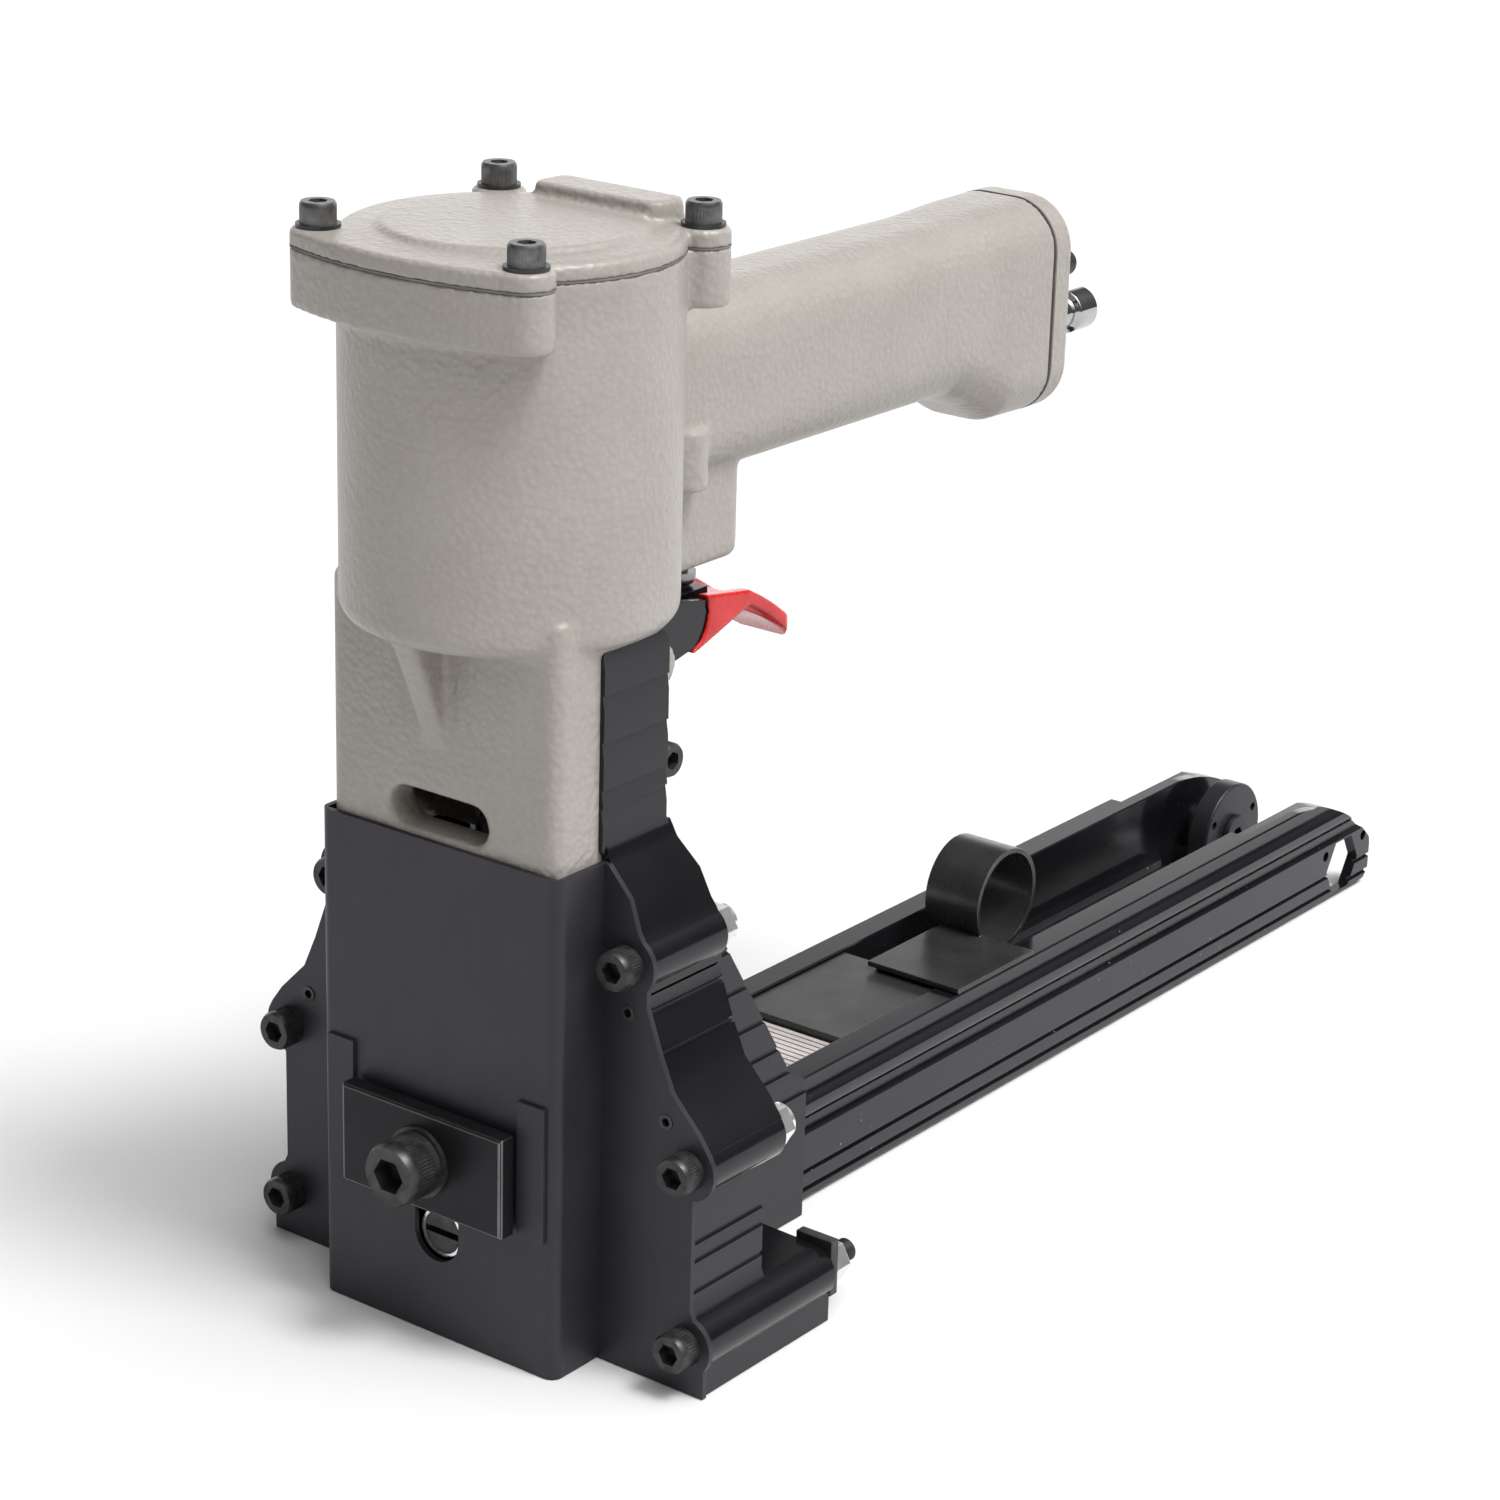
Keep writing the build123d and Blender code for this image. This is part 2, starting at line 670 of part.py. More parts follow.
bush_flange = 3.0
rod_seal_wire = 1.2
rod_seal_z = bore_floor - 6.0
bumper_top = piston_bottom - stroke - slip
rod_groove = ring(
    rod_radius + run + 2 * rod_seal_wire, rod_radius, 2 * rod_seal_wire + groove_slack
)
with BuildPart() as rod_bush:
    with Locations((0, 0, bush_floor)):
        Cylinder(bush_radius, bore_floor - bush_floor, align=(Align.CENTER, Align.CENTER, Align.MIN))
    with Locations((0, 0, bore_floor)):
        Cylinder(bush_radius + 4, bush_flange, align=(Align.CENTER, Align.CENTER, Align.MIN))
    Cylinder(
        rod_radius + run,
        bumper_top,
        align=(Align.CENTER, Align.CENTER, Align.MIN),
        mode=Mode.SUBTRACT,
    )
    with Locations((0, 0, rod_seal_z - rod_seal_wire - groove_slack / 2)):
        add(rod_groove, mode=Mode.SUBTRACT)
rod_bush.part.label = "rod_bush"
export_step(rod_bush.part, "parts/rod_bush.step")

with BuildPart() as rod_seal:
    with Locations((0, 0, rod_seal_z)):
        Torus(rod_radius + run + rod_seal_wire, rod_seal_wire)
rod_seal.part.label = "rod_seal"
export_step(rod_seal.part, "parts/rod_seal.step")

with BuildPart() as piston_bumper:
    with Locations((0, 0, bore_floor)):
        Cylinder(
            liner_inner - 1, bumper_top - bore_floor, align=(Align.CENTER, Align.CENTER, Align.MIN)
        )
    chamfer(piston_bumper.faces().sort_by(Axis.Z)[-1].edges(), 2.0)
    with Locations((0, 0, bore_floor)):
        Cylinder(
            bush_radius + 4,
            bush_flange,
            align=(Align.CENTER, Align.CENTER, Align.MIN),
            mode=Mode.SUBTRACT,
        )
    Cylinder(
        rod_radius + 2, bumper_top, align=(Align.CENTER, Align.CENTER, Align.MIN), mode=Mode.SUBTRACT
    )
piston_bumper.part.label = "piston_bumper"
export_step(piston_bumper.part, "parts/piston_bumper.step")

# Piston with its rod, seal, crosshead, yoke and driver blade
piston_seal_wire = 1.5
piston_seal_middle = liner_inner - run - piston_seal_wire
piston_radius = liner_inner - slip
seal_level = piston_bottom + piston_height / 2
yoke_front = claw_thick / 2 + 0.6
yoke_thick = 4.0
yoke_bolt = 2.0
yoke_bolts = [(side * 7.0, crosshead_top - 10.0) for side in both_sides]
blade_top = crosshead_top - 3.0

with BuildPart() as drive_piston:
    with Locations((0, 0, piston_bottom)):
        Cylinder(piston_radius, piston_height, align=(Align.CENTER, Align.CENTER, Align.MIN))
    chamfer(drive_piston.faces().sort_by(Axis.Z)[-1].edges(), 1.0)
    with Locations((0, 0, seal_level)):
        Torus(piston_seal_middle, piston_seal_wire, mode=Mode.SUBTRACT)
    with Locations((0, 0, piston_bottom + piston_height)):
        Cylinder(
            piston_radius - 8, 6.0, align=(Align.CENTER, Align.CENTER, Align.MAX), mode=Mode.SUBTRACT
        )
    with Locations((0, 0, crosshead_top)):
        Cylinder(
            rod_radius, piston_bottom - crosshead_top, align=(Align.CENTER, Align.CENTER, Align.MIN)
        )
    with BuildSketch(Plane.XY.offset(crosshead_bottom)):
        with Locations((0, (yoke_front - claw_thick / 2) / 2)):
            Rectangle(2 * crosshead_half, yoke_front + claw_thick / 2)
    extrude(amount=crosshead_top - crosshead_bottom)
    with BuildSketch(Plane.XY.offset(crosshead_bottom)):
        Rectangle(2 * crosshead_half + 2, blade_thick)
    extrude(amount=blade_top - crosshead_bottom, mode=Mode.SUBTRACT)
    with BuildSketch(at_y(yoke_front)):
        with Locations(*yoke_bolts):
            Circle(yoke_bolt + bolt_gap)
    extrude(amount=yoke_front + claw_thick, mode=Mode.SUBTRACT)
drive_piston.part.label = "drive_piston"
export_step(drive_piston.part, "parts/drive_piston.step")

with BuildPart() as piston_seal:
    with Locations((0, 0, seal_level)):
        Torus(piston_seal_middle, piston_seal_wire)
piston_seal.part.label = "piston_seal"
export_step(piston_seal.part, "parts/piston_seal.step")

with BuildPart() as driver_blade:
    with BuildSketch(at_y(blade_thick / 2)):
        with BuildLine():
            Polyline(
                (-blade_half, blade_tip),
                (blade_half, blade_tip),
                (blade_half, crosshead_bottom - 4),
                (crosshead_half, crosshead_bottom + 2),
                (crosshead_half, blade_top),
                (-crosshead_half, blade_top),
                (-crosshead_half, crosshead_bottom + 2),
                (-blade_half, crosshead_bottom - 4),
                close=True,
            )
        make_face()
        with Locations(*yoke_bolts):
            Circle(yoke_bolt + bolt_gap, mode=Mode.SUBTRACT)
    extrude(amount=blade_thick)
driver_blade.part.label = "driver_blade"
export_step(driver_blade.part, "parts/driver_blade.step")

# The yoke's open forks push the claws' drive pins down
drive_pin_x = claw_pivot_x + drive_pin_reach * cos(radians(claw_half_swing))
drive_pin_z = claw_pivot_z + stroke / 2
fork_gap = drive_pin + slip + 0.7  # half height; the pin rises and falls a little along its arc
fork_root = drive_pin_x - drive_pin - 0.6
fork_end = claw_pivot_x + drive_pin_reach + 0.8
fork_half = 6.5
arm_inner = 30.0
arm_outer = 37.0

with BuildPart() as drive_yoke:
    with BuildSketch(at_y(yoke_front + yoke_thick)):
        with BuildLine():
            Polyline(
                (0, crosshead_top),
                (arm_outer - 3, crosshead_top),
                (arm_outer, crosshead_top - 5),
                (arm_outer, drive_pin_z + fork_half + 6),
                (fork_end, drive_pin_z + fork_half),
                (fork_end, drive_pin_z + fork_gap),
                (fork_root, drive_pin_z + fork_gap),
                (fork_root, drive_pin_z - fork_gap),
                (fork_end, drive_pin_z - fork_gap),
                (fork_end, drive_pin_z - fork_half),
                (arm_outer, drive_pin_z - fork_half),
                (arm_inner, drive_pin_z),
                (arm_inner, crosshead_bottom),
                (0, crosshead_bottom),
                close=True,
            )
        make_face()
        mirror(about=Plane.YZ)
        with Locations(*yoke_bolts):
            Circle(yoke_bolt + bolt_gap, mode=Mode.SUBTRACT)
    extrude(amount=yoke_thick)
drive_yoke.part.label = "drive_yoke"
export_step(drive_yoke.part, "parts/drive_yoke.step")

yoke_screw = socket_screw(yoke_bolt, yoke_thick + yoke_front + claw_thick / 2, 3.5, 3.0, 3.0)
with BuildPart() as yoke_screws:
    with Locations(*[facing_back(x, yoke_front + yoke_thick, z) for x, z in yoke_bolts]):
        add(yoke_screw)
yoke_screws.part.label = "yoke_screws"
export_step(yoke_screws.part, "parts/yoke_screws.step")

# Head valve above the liner, with its spring
head_valve_bottom = liner_top + slip
head_valve_height = 5.0
head_valve_radius = liner_outer - 0.5
head_spring_radius = 12.0
head_spring_wire = 0.8
head_spring_seat = head_valve_bottom + head_valve_height - 1.5
with BuildPart() as head_valve:
    with Locations((0, 0, head_valve_bottom)):
        Cylinder(
            head_valve_radius, head_valve_height, align=(Align.CENTER, Align.CENTER, Align.MIN)
        )
    chamfer(head_valve.faces().sort_by(Axis.Z)[-1].edges(), 1.0)
    with Locations((0, 0, head_spring_seat)):
        Cylinder(
            head_spring_radius + 2.5,
            5.0,
            align=(Align.CENTER, Align.CENTER, Align.MIN),
            mode=Mode.SUBTRACT,
        )
head_valve.part.label = "head_valve"
export_step(head_valve.part, "parts/head_valve.step")

head_spring = coil_spring(
    head_spring_radius, head_spring_wire, cap_bottom + cap_recess - head_spring_seat, 2
)
with BuildPart() as head_valve_spring:
    with Locations((0, 0, head_spring_seat)):
        add(head_spring)
head_valve_spring.part.label = "head_valve_spring"
export_step(head_valve_spring.part, "parts/head_valve_spring.step")

# Trigger valve: bush, stem and spring
valve_top = handle_axis - handle_half_height + 1
chamber_bottom = housing_bottom + 6.0
chamber_radius = valve_radius - 1.8
stem_bottom = trigger_top + dip_skin + slip
stem_head = 3.0
stem_head_bottom = chamber_bottom + 3.0
valve_roof = 1.5
valve_inlet = 2.0
stem_button = 4.2
stem_button_height = 3.6
valve_seal_wire = 0.6
valve_seal_levels = [housing_bottom + 3.0, valve_top - 4.0]
valve_spring_bottom = stem_head_bottom + stem_head
valve_groove = ring(
    valve_radius + 1, valve_radius - 2 * valve_seal_wire, 2 * valve_seal_wire + groove_slack
)
with BuildPart() as trigger_valve_bush:
    with Locations((0, valve_y, housing_bottom - 1)):
        Cylinder(
            valve_radius, valve_top - housing_bottom + 1, align=(Align.CENTER, Align.CENTER, Align.MIN)
        )
        Cylinder(
            stem_radius + run, 10.0, align=(Align.CENTER, Align.CENTER, Align.MIN), mode=Mode.SUBTRACT
        )
    with Locations((0, valve_y, chamber_bottom)):
        Cylinder(
            chamber_radius,
            valve_top - valve_roof - chamber_bottom,
            align=(Align.CENTER, Align.CENTER, Align.MIN),
            mode=Mode.SUBTRACT,
        )
        Cylinder(
            valve_inlet,
            valve_top - chamber_bottom,
            align=(Align.CENTER, Align.CENTER, Align.MIN),
            mode=Mode.SUBTRACT,
        )
    for level in valve_seal_levels:
        with Locations((0, valve_y, level - valve_seal_wire - groove_slack / 2)):
            add(valve_groove, mode=Mode.SUBTRACT)
trigger_valve_bush.part.label = "trigger_valve_bush"
export_step(trigger_valve_bush.part, "parts/trigger_valve_bush.step")

with BuildPart() as trigger_valve_seals:
    with Locations(*[(0, valve_y, level) for level in valve_seal_levels]):
        Torus(valve_radius - valve_seal_wire, valve_seal_wire)
trigger_valve_seals.part.label = "trigger_valve_seals"
export_step(trigger_valve_seals.part, "parts/trigger_valve_seals.step")

with BuildPart() as trigger_valve_stem:
    with Locations((0, valve_y, stem_bottom)):
        Cylinder(
            stem_radius, stem_head_bottom - stem_bottom, align=(Align.CENTER, Align.CENTER, Align.MIN)
        )
        Cylinder(stem_button, stem_button_height, align=(Align.CENTER, Align.CENTER, Align.MIN))
    with Locations((0, valve_y, stem_head_bottom)):
        Cylinder(
            chamber_radius - slip, stem_head, align=(Align.CENTER, Align.CENTER, Align.MIN)
        )
    fillet(trigger_valve_stem.faces().sort_by(Axis.Z)[0].edges(), stem_button - stem_radius)
trigger_valve_stem.part.label = "trigger_valve_stem"
export_step(trigger_valve_stem.part, "parts/trigger_valve_stem.step")

valve_spring_radius = 3.4
valve_spring_wire = 0.45
valve_spring = coil_spring(
    valve_spring_radius, valve_spring_wire, valve_top - valve_roof - valve_spring_bottom, 4
)
with BuildPart() as trigger_valve_spring:
    with Locations((0, valve_y, valve_spring_bottom)):
        add(valve_spring)
trigger_valve_spring.part.label = "trigger_valve_spring"
export_step(trigger_valve_spring.part, "parts/trigger_valve_spring.step")

# Trigger: a pressed steel lever with a dipped finger tab, on a cross pin
tab_half = trigger_half + dip_skin
tab_thick = 3.4
tab_end = trigger_pivot_y + 62.6
tab_bow = 6.0  # the end of the tab is an arc that reaches back this far beyond its corners
tab_round = 4.0  # corners of that end
tab_trough = 2.0  # the tab sags this far between its raised sides
tab_side = 3.2
pad_half = 6.0  # raised pad that the valve's stem stands on
pad_back = trigger_pivot_y + 30.0
web_front = trigger_pivot_y + 14.0
dip_start = trigger_pivot_y + 23.7
cheek_points = [
    (trigger_pivot_y - 5.0, trigger_pivot_z - 3.0),
    (trigger_pivot_y + 9.0, trigger_pivot_z - 3.2),
    (trigger_pivot_y + 20.5, trigger_top - 11.6),
    (trigger_pivot_y + 40.0, trigger_top - 5.0),
    (trigger_pivot_y + 40.0, trigger_top - 3.0),
    (trigger_pivot_y + 24.0, trigger_top - 0.3),
    (trigger_pivot_y + 13.0, trigger_top + 1.5),
    (trigger_pivot_y - 5.0, trigger_pivot_z + 4.0),
]

with BuildPart() as trigger_lever:
    for side in both_sides:
        with BuildSketch(Plane.YZ.offset(side * (trigger_half - trigger_sheet / 2))):
            with BuildLine():
                Polyline(*cheek_points, close=True)
            make_face()
            with Locations((trigger_pivot_y, trigger_pivot_z)):
                Circle(5.5)
        extrude(amount=trigger_sheet / 2, both=True)
    # Web between the cheeks and the pad on it
    with BuildSketch(Plane.XY.offset(trigger_top - 2 * trigger_sheet)):
        with Locations((0, (web_front + pad_back) / 2)):
            Rectangle(2 * trigger_half, pad_back - web_front)
    extrude(amount=trigger_sheet)
    with BuildSketch(Plane.XY.offset(trigger_top - trigger_sheet)):
        with Locations((0, (web_front + pad_back) / 2)):
            Rectangle(2 * pad_half, pad_back - web_front)
    extrude(amount=trigger_sheet + dip_skin)
    fillet(
        trigger_lever.edges().filter_by(Axis.X).sort_by(Axis.Z)[-2:].sort_by(Axis.Y)[-1],
        trigger_sheet,
    )
    with BuildSketch(Plane.YZ):
        with Locations((trigger_pivot_y, trigger_pivot_z)):
            Circle(trigger_pin + run)
    extrude(amount=trigger_half + 1, both=True, mode=Mode.SUBTRACT)
trigger_lever.part.label = "trigger_lever"
export_step(trigger_lever.part, "parts/trigger_lever.step")


def tab_face(drop):
    """Side view of the finger tab, straight and then curled down; the drop fades out at its end.

    Its under side lies one thickness away, square to each stretch.
    """
    front = (dip_start, trigger_top + dip_skin - drop)
    bend = (trigger_pivot_y + 41.0, trigger_top - 1.8 - drop)
    middle = (trigger_pivot_y + 52.5, trigger_top - 8.6 - drop / 2)
    tip = (tab_end, trigger_top - 16.7)
    front_under = (front[0], front[1] - tab_thick)
    bend_under = (bend[0] - 0.3 * tab_thick, bend[1] - tab_thick)
    middle_under = (middle[0] - 0.5 * tab_thick, middle[1] - 0.86 * tab_thick)
    tip_under = (tip[0] - 0.61 * tab_thick, tip[1] - 0.79 * tab_thick)
    with BuildLine() as outline:
        Line(front, bend)
        ThreePointArc(bend, middle, tip)
        Line(tip, tip_under)
        ThreePointArc(tip_under, middle_under, bend_under)
        Polyline(bend_under, front_under, front)
    make_face(outline.edges())


with BuildPart() as trigger_grip:
    # Dipped skin over the cheeks, which runs forward along their lower edge
    for side in both_sides:
        with BuildSketch(Plane.YZ.offset(side * (trigger_half - trigger_sheet / 2))):
            with BuildLine():
                skin_top = (dip_start, trigger_top + dip_skin)
                skin_low = (trigger_pivot_y + 13.8, trigger_top - 14.2)
                ThreePointArc(skin_top, (trigger_pivot_y + 22.4, trigger_top - 8.6), skin_low)
                Polyline(
                    skin_low,
                    (trigger_pivot_y + 20.8, trigger_top - 12.5),
                    (trigger_pivot_y + 41.5, trigger_top - 5.6),
                    (trigger_pivot_y + 41.0, trigger_top - 1.8),
                    skin_top,
                )
            make_face()
        extrude(amount=trigger_sheet / 2 + dip_skin, both=True)
    # Raised sides of the tab, and its sagging middle
    for side in both_sides:
        with BuildSketch(Plane.YZ.offset(side * (tab_half - tab_side / 2))):
            tab_face(0)
        extrude(amount=tab_side / 2, both=True)
    with BuildSketch(Plane.YZ):
        tab_face(tab_trough)
    extrude(amount=tab_half - tab_side / 2, both=True)
    # The end of the tab is a rounded tongue
    with BuildSketch(Plane.XY.offset(trigger_top)) as tongue:
        with BuildLine():
            ThreePointArc((-tab_half, tab_end - tab_bow), (0, tab_end), (tab_half, tab_end - tab_bow))
            Polyline(
                (tab_half, tab_end - tab_bow),
                (tab_half, trigger_pivot_y),
                (-tab_half, trigger_pivot_y),
                (-tab_half, tab_end - tab_bow),
            )
        make_face()
        fillet(tongue.vertices().sort_by(Axis.Y)[-2:], tab_round)
    extrude(amount=tab_end - trigger_pivot_y, both=True, mode=Mode.INTERSECT)
    add(trigger_lever.part, mode=Mode.SUBTRACT)
trigger_grip.part.label = "trigger_grip"
export_step(trigger_grip.part, "parts/trigger_grip.step")

with BuildPart() as trigger_pivot_pin:
    with BuildSketch(Plane.YZ):
        with Locations((trigger_pivot_y, trigger_pivot_z)):
            Circle(trigger_pin)
    extrude(amount=lug_outer + 0.5, both=True)
trigger_pivot_pin.part.label = "trigger_pivot_pin"
export_step(trigger_pivot_pin.part, "parts/trigger_pivot_pin.step")

clamp_screw = socket_screw(clamp_bolt, clamp_lug_outer - clamp_lug_inner + 2.0, m5_head, 5.0, 4.0)
with BuildPart() as nose_clamp_screws:
    for side in both_sides:
        with Locations(
            Plane(origin=(side * clamp_lug_outer, clamp_y, clamp_z), z_dir=(side, 0, 0))
        ):
            add(clamp_screw)
nose_clamp_screws.part.label = "nose_clamp_screws"
export_step(nose_clamp_screws.part, "parts/nose_clamp_screws.step")

# Front cover
strip_proud = 1.0
strip_inner = adjuster_half + 0.6
strip_outer = cover_width / 2 - cover_fold
strip_low = adjuster_z - adjuster_height / 2
strip_length = 35.0
slot_top = adjuster_z + adjuster_travel + adjuster_bolt + 0.5
flange_lip = 0.8  # the flange stands past the frame by this much
set_screw = 2.0
set_screw_proud = 0.3
set_screw_places = [
    (upper_bolt[0] + 0.3, upper_bolt[1] - 12.0),
    (middle_bolt[0] - 6.7, middle_bolt[1] + 10.4),
]

with BuildPart() as front_cover:
    with BuildSketch():
        with Locations((0, (frame_front - cover_face) / 2)):
            Rectangle(cover_width, frame_front + cover_face)
    extrude(amount=cover_height)
    fillet(
        front_cover.edges().filter_by(Axis.Z).group_by(Axis.Y)[0],
        cover_fold,
    )
    with BuildSketch():
        with Locations((0, (frame_front - cover_face) / 2 + cover_sheet)):
            Rectangle(cover_width - 2 * cover_sheet, frame_front + cover_face)
    extrude(amount=cover_height, mode=Mode.SUBTRACT)
    for side in both_sides:
        with BuildSketch(at_y(frame_front)):
            with BuildLine():
                Polyline(
                    (side * (cover_width / 2 - cover_sheet), 0),
                    *[(side * x, z) for x, z in flare_points(flange_lip)],
                    (side * (plate_outer + 2.0), cover_height),
                    (side * (cover_width / 2 - cover_sheet), cover_height),
                    close=True,
                )
            make_face()
            with Locations(*[(side * x, z) for x, z in frame_bolts]):
                Circle(frame_boss + flange_lip)
            with Locations(*[(side * x, z) for x, z in frame_bolts]):
                Circle(frame_bolt + bolt_gap, mode=Mode.SUBTRACT)
            with Locations(*[(side * x, z) for x, z in set_screw_places]):
                Circle(set_screw, mode=Mode.SUBTRACT)
        extrude(amount=cover_sheet)
    # Raised strips that guide the depth adjuster
    for side in both_sides:
        with BuildSketch(at_y(-cover_face)):
            with Locations((side * (strip_inner + strip_outer) / 2, strip_low + strip_length / 2)):
                Rectangle(strip_outer - strip_inner, strip_length)
        extrude(amount=strip_proud)
    # Slot for the adjuster's screw
    with BuildSketch(at_y(-cover_face - 1)):
        with Locations((0, (slot_bottom + slot_top) / 2)):
            SlotOverall(slot_top - slot_bottom, 2 * slot_half, rotation=90)
    extrude(amount=-(cover_sheet + 2), mode=Mode.SUBTRACT)
front_cover.part.label = "front_cover"
export_step(front_cover.part, "parts/front_cover.step")

# Depth adjuster, a block that is clamped through the slot
with BuildPart() as depth_adjuster:
    with BuildSketch(at_y(-cover_face - adjuster_gap)):
        with Locations((0, adjuster_z)):
            Rectangle(2 * adjuster_half - 8, adjuster_height - 6)
    extrude(amount=adjuster_pad - adjuster_gap)
    with BuildSketch(at_y(-cover_face - adjuster_pad)):
        with Locations((0, adjuster_z)):
            Rectangle(2 * adjuster_half, adjuster_height)
    extrude(amount=adjuster_depth - adjuster_pad)
    chamfer(depth_adjuster.faces().sort_by(Axis.Y)[0].outer_wire().edges(), 0.6)
    with BuildSketch(at_y(-cover_face)):
        with Locations((0, adjuster_z)):
            Circle(adjuster_bolt + bolt_gap)
    extrude(amount=adjuster_depth, mode=Mode.SUBTRACT)
depth_adjuster.part.label = "depth_adjuster"
export_step(depth_adjuster.part, "parts/depth_adjuster.step")

adjuster_washer_thick = 1.2
adjuster_front = -cover_face - adjuster_depth
adjuster_nut_thick = 6.0
adjuster_nut_width = 24.0
adjuster_nut_height = 15.0
adjuster_washer_radius = 9.0
adjuster_head = 8.0
adjuster_head_height = 10.0
adjuster_key = 8.0
with BuildPart() as adjuster_washer:
    with BuildSketch(at_y(adjuster_front)):
        with Locations((0, adjuster_z)):
            Circle(adjuster_washer_radius)
            Circle(adjuster_bolt + bolt_gap, mode=Mode.SUBTRACT)
    extrude(amount=adjuster_washer_thick)
adjuster_washer.part.label = "adjuster_washer"
export_step(adjuster_washer.part, "parts/adjuster_washer.step")

adjuster_grip = adjuster_washer_thick + adjuster_depth + cover_sheet + adjuster_nut_thick
adjuster_bolt_part = socket_screw(
    adjuster_bolt, adjuster_grip, adjuster_head, adjuster_head_height, adjuster_key
)
with BuildPart() as adjuster_screw:
    with Locations(facing_front(0, adjuster_front - adjuster_washer_thick, adjuster_z)):
        add(adjuster_bolt_part)
adjuster_screw.part.label = "adjuster_screw"
export_step(adjuster_screw.part, "parts/adjuster_screw.step")

with BuildPart() as adjuster_nut:
    with BuildSketch(at_y(-cover_face + cover_sheet + adjuster_gap)):
        with Locations((0, adjuster_z)):
            Rectangle(adjuster_nut_width, adjuster_nut_height)
            Circle(adjuster_bolt + bolt_gap, mode=Mode.SUBTRACT)
    extrude(amount=-adjuster_nut_thick)
adjuster_nut.part.label = "adjuster_nut"
export_step(adjuster_nut.part, "parts/adjuster_nut.step")

# Guide plates in front of and behind the driver blade
guide_front = frame_front
guide_back = -claw_thick / 2 - slip
land_face = -blade_thick / 2 - slip
land_half = claw_pivot_x - 6.0
land_bottom = 3.0
guide_half = lower_bolt[0] - frame_boss - 2.0
rear_guide_front = claw_thick / 2 + slip
rear_guide_top = crosshead_bottom - stroke - 5.0
feed_low = ledge_top
stop_screw_z = 27.0
stop_screw = 3.0
claw_places = [(side * claw_pivot_x, claw_pivot_z) for side in both_sides]

with BuildPart() as front_guide:
    with BuildSketch(at_y(guide_back)):
        with BuildLine():
            Polyline(
                (0, 0),
                (guide_half, 0),
                (guide_half, middle_bolt[1] - 12),
                (upper_bolt[0] - frame_boss - 2.0, upper_bolt[1] - 18),
                (upper_bolt[0] - frame_boss - 4.0, upper_bolt[1] + 6),
                (0, upper_bolt[1] + 6),
                close=True,
            )
        make_face()
        mirror(about=Plane.YZ)
        with Locations(*claw_places):
            Circle(claw_pin, mode=Mode.SUBTRACT)
        with Locations((0, stop_screw_z)):
            Circle(stop_screw, mode=Mode.SUBTRACT)
    extrude(amount=guide_back - guide_front)
    # Notch that lets the piston rod come down
    with BuildSketch(at_y(guide_back)):
        with Locations((0, crosshead_top - stroke - 2)):
            Rectangle(
                2 * rod_radius + 2, upper_bolt[1] + 8 - crosshead_top + stroke,
                align=(Align.CENTER, Align.MIN),
            )
    extrude(amount=guide_back - guide_front, mode=Mode.SUBTRACT)
    # Land that the staple slides down
    with BuildSketch(at_y(land_face)):
        with Locations((0, (land_bottom + rear_guide_top) / 2)):
            Rectangle(2 * land_half, rear_guide_top - land_bottom)
        with Locations((0, stop_screw_z)):
            Circle(stop_screw, mode=Mode.SUBTRACT)
    extrude(amount=land_face - guide_back)
front_guide.part.label = "front_guide"
export_step(front_guide.part, "parts/front_guide.step")

with BuildPart() as rear_guide:
    with BuildSketch(at_y(rail_front)):
        with Locations((0, rear_guide_top / 2)):
            Rectangle(2 * rail_outer, rear_guide_top)
        with Locations((0, (feed_low + rail_top + 1) / 2)):
            Rectangle(2 * channel_half, rail_top + 1 - feed_low, mode=Mode.SUBTRACT)
        with Locations(*claw_places):
            Circle(claw_pin, mode=Mode.SUBTRACT)
    extrude(amount=rail_front - rear_guide_front)
rear_guide.part.label = "rear_guide"
export_step(rear_guide.part, "parts/rear_guide.step")

stop_head = 5.4
stop_collar_radius = slot_half - slip
stop_length = cover_face - cover_sheet - 0.5 + guide_front
with BuildPart() as depth_stop_screw:
    with BuildSketch(at_y(guide_front)):
        with Locations((0, stop_screw_z)):
            Circle(stop_head)
    extrude(amount=stop_length)
    with BuildSketch(at_y(guide_front)):
        with Locations((0, stop_screw_z)):
            Circle(stop_screw)
    extrude(amount=-(guide_back - guide_front))
    with BuildSketch(at_y(guide_front - stop_length)):
        with Locations((0, stop_screw_z)):
            Rectangle(2 * stop_head + 2, 1.6)
    extrude(amount=-2.0, mode=Mode.SUBTRACT)
depth_stop_screw.part.label = "depth_stop_screw"
export_step(depth_stop_screw.part, "parts/depth_stop_screw.step")

with BuildPart() as stop_collar:
    with BuildSketch(at_y(guide_front)):
        with Locations((0, stop_screw_z)):
            Circle(stop_collar_radius)
            Circle(stop_head, mode=Mode.SUBTRACT)
    extrude(amount=stop_length)
stop_collar.part.label = "stop_collar"
export_step(stop_collar.part, "parts/stop_collar.step")

with BuildPart() as clincher_pivot_pins:
    with BuildSketch(at_y(rail_front)):
        with Locations(*claw_places):
            Circle(claw_pin)
    extrude(amount=rail_front - guide_front)
clincher_pivot_pins.part.label = "clincher_pivot_pins"
export_step(clincher_pivot_pins.part, "parts/clincher_pivot_pins.step")

# Clinchers: a hub, an arm to the drive pin and a curved claw with a sharp tip
hub_radius = claw_pivot_x - blade_half - 0.6
claw_middle = (claw_outer + claw_inner) / 2


def on_claw(radius, angle):
    """A point around the right claw's pivot; the angle is in degrees up from level."""
    turn = radians(angle)
    return (claw_pivot_x + radius * cos(turn), claw_pivot_z + radius * sin(turn))


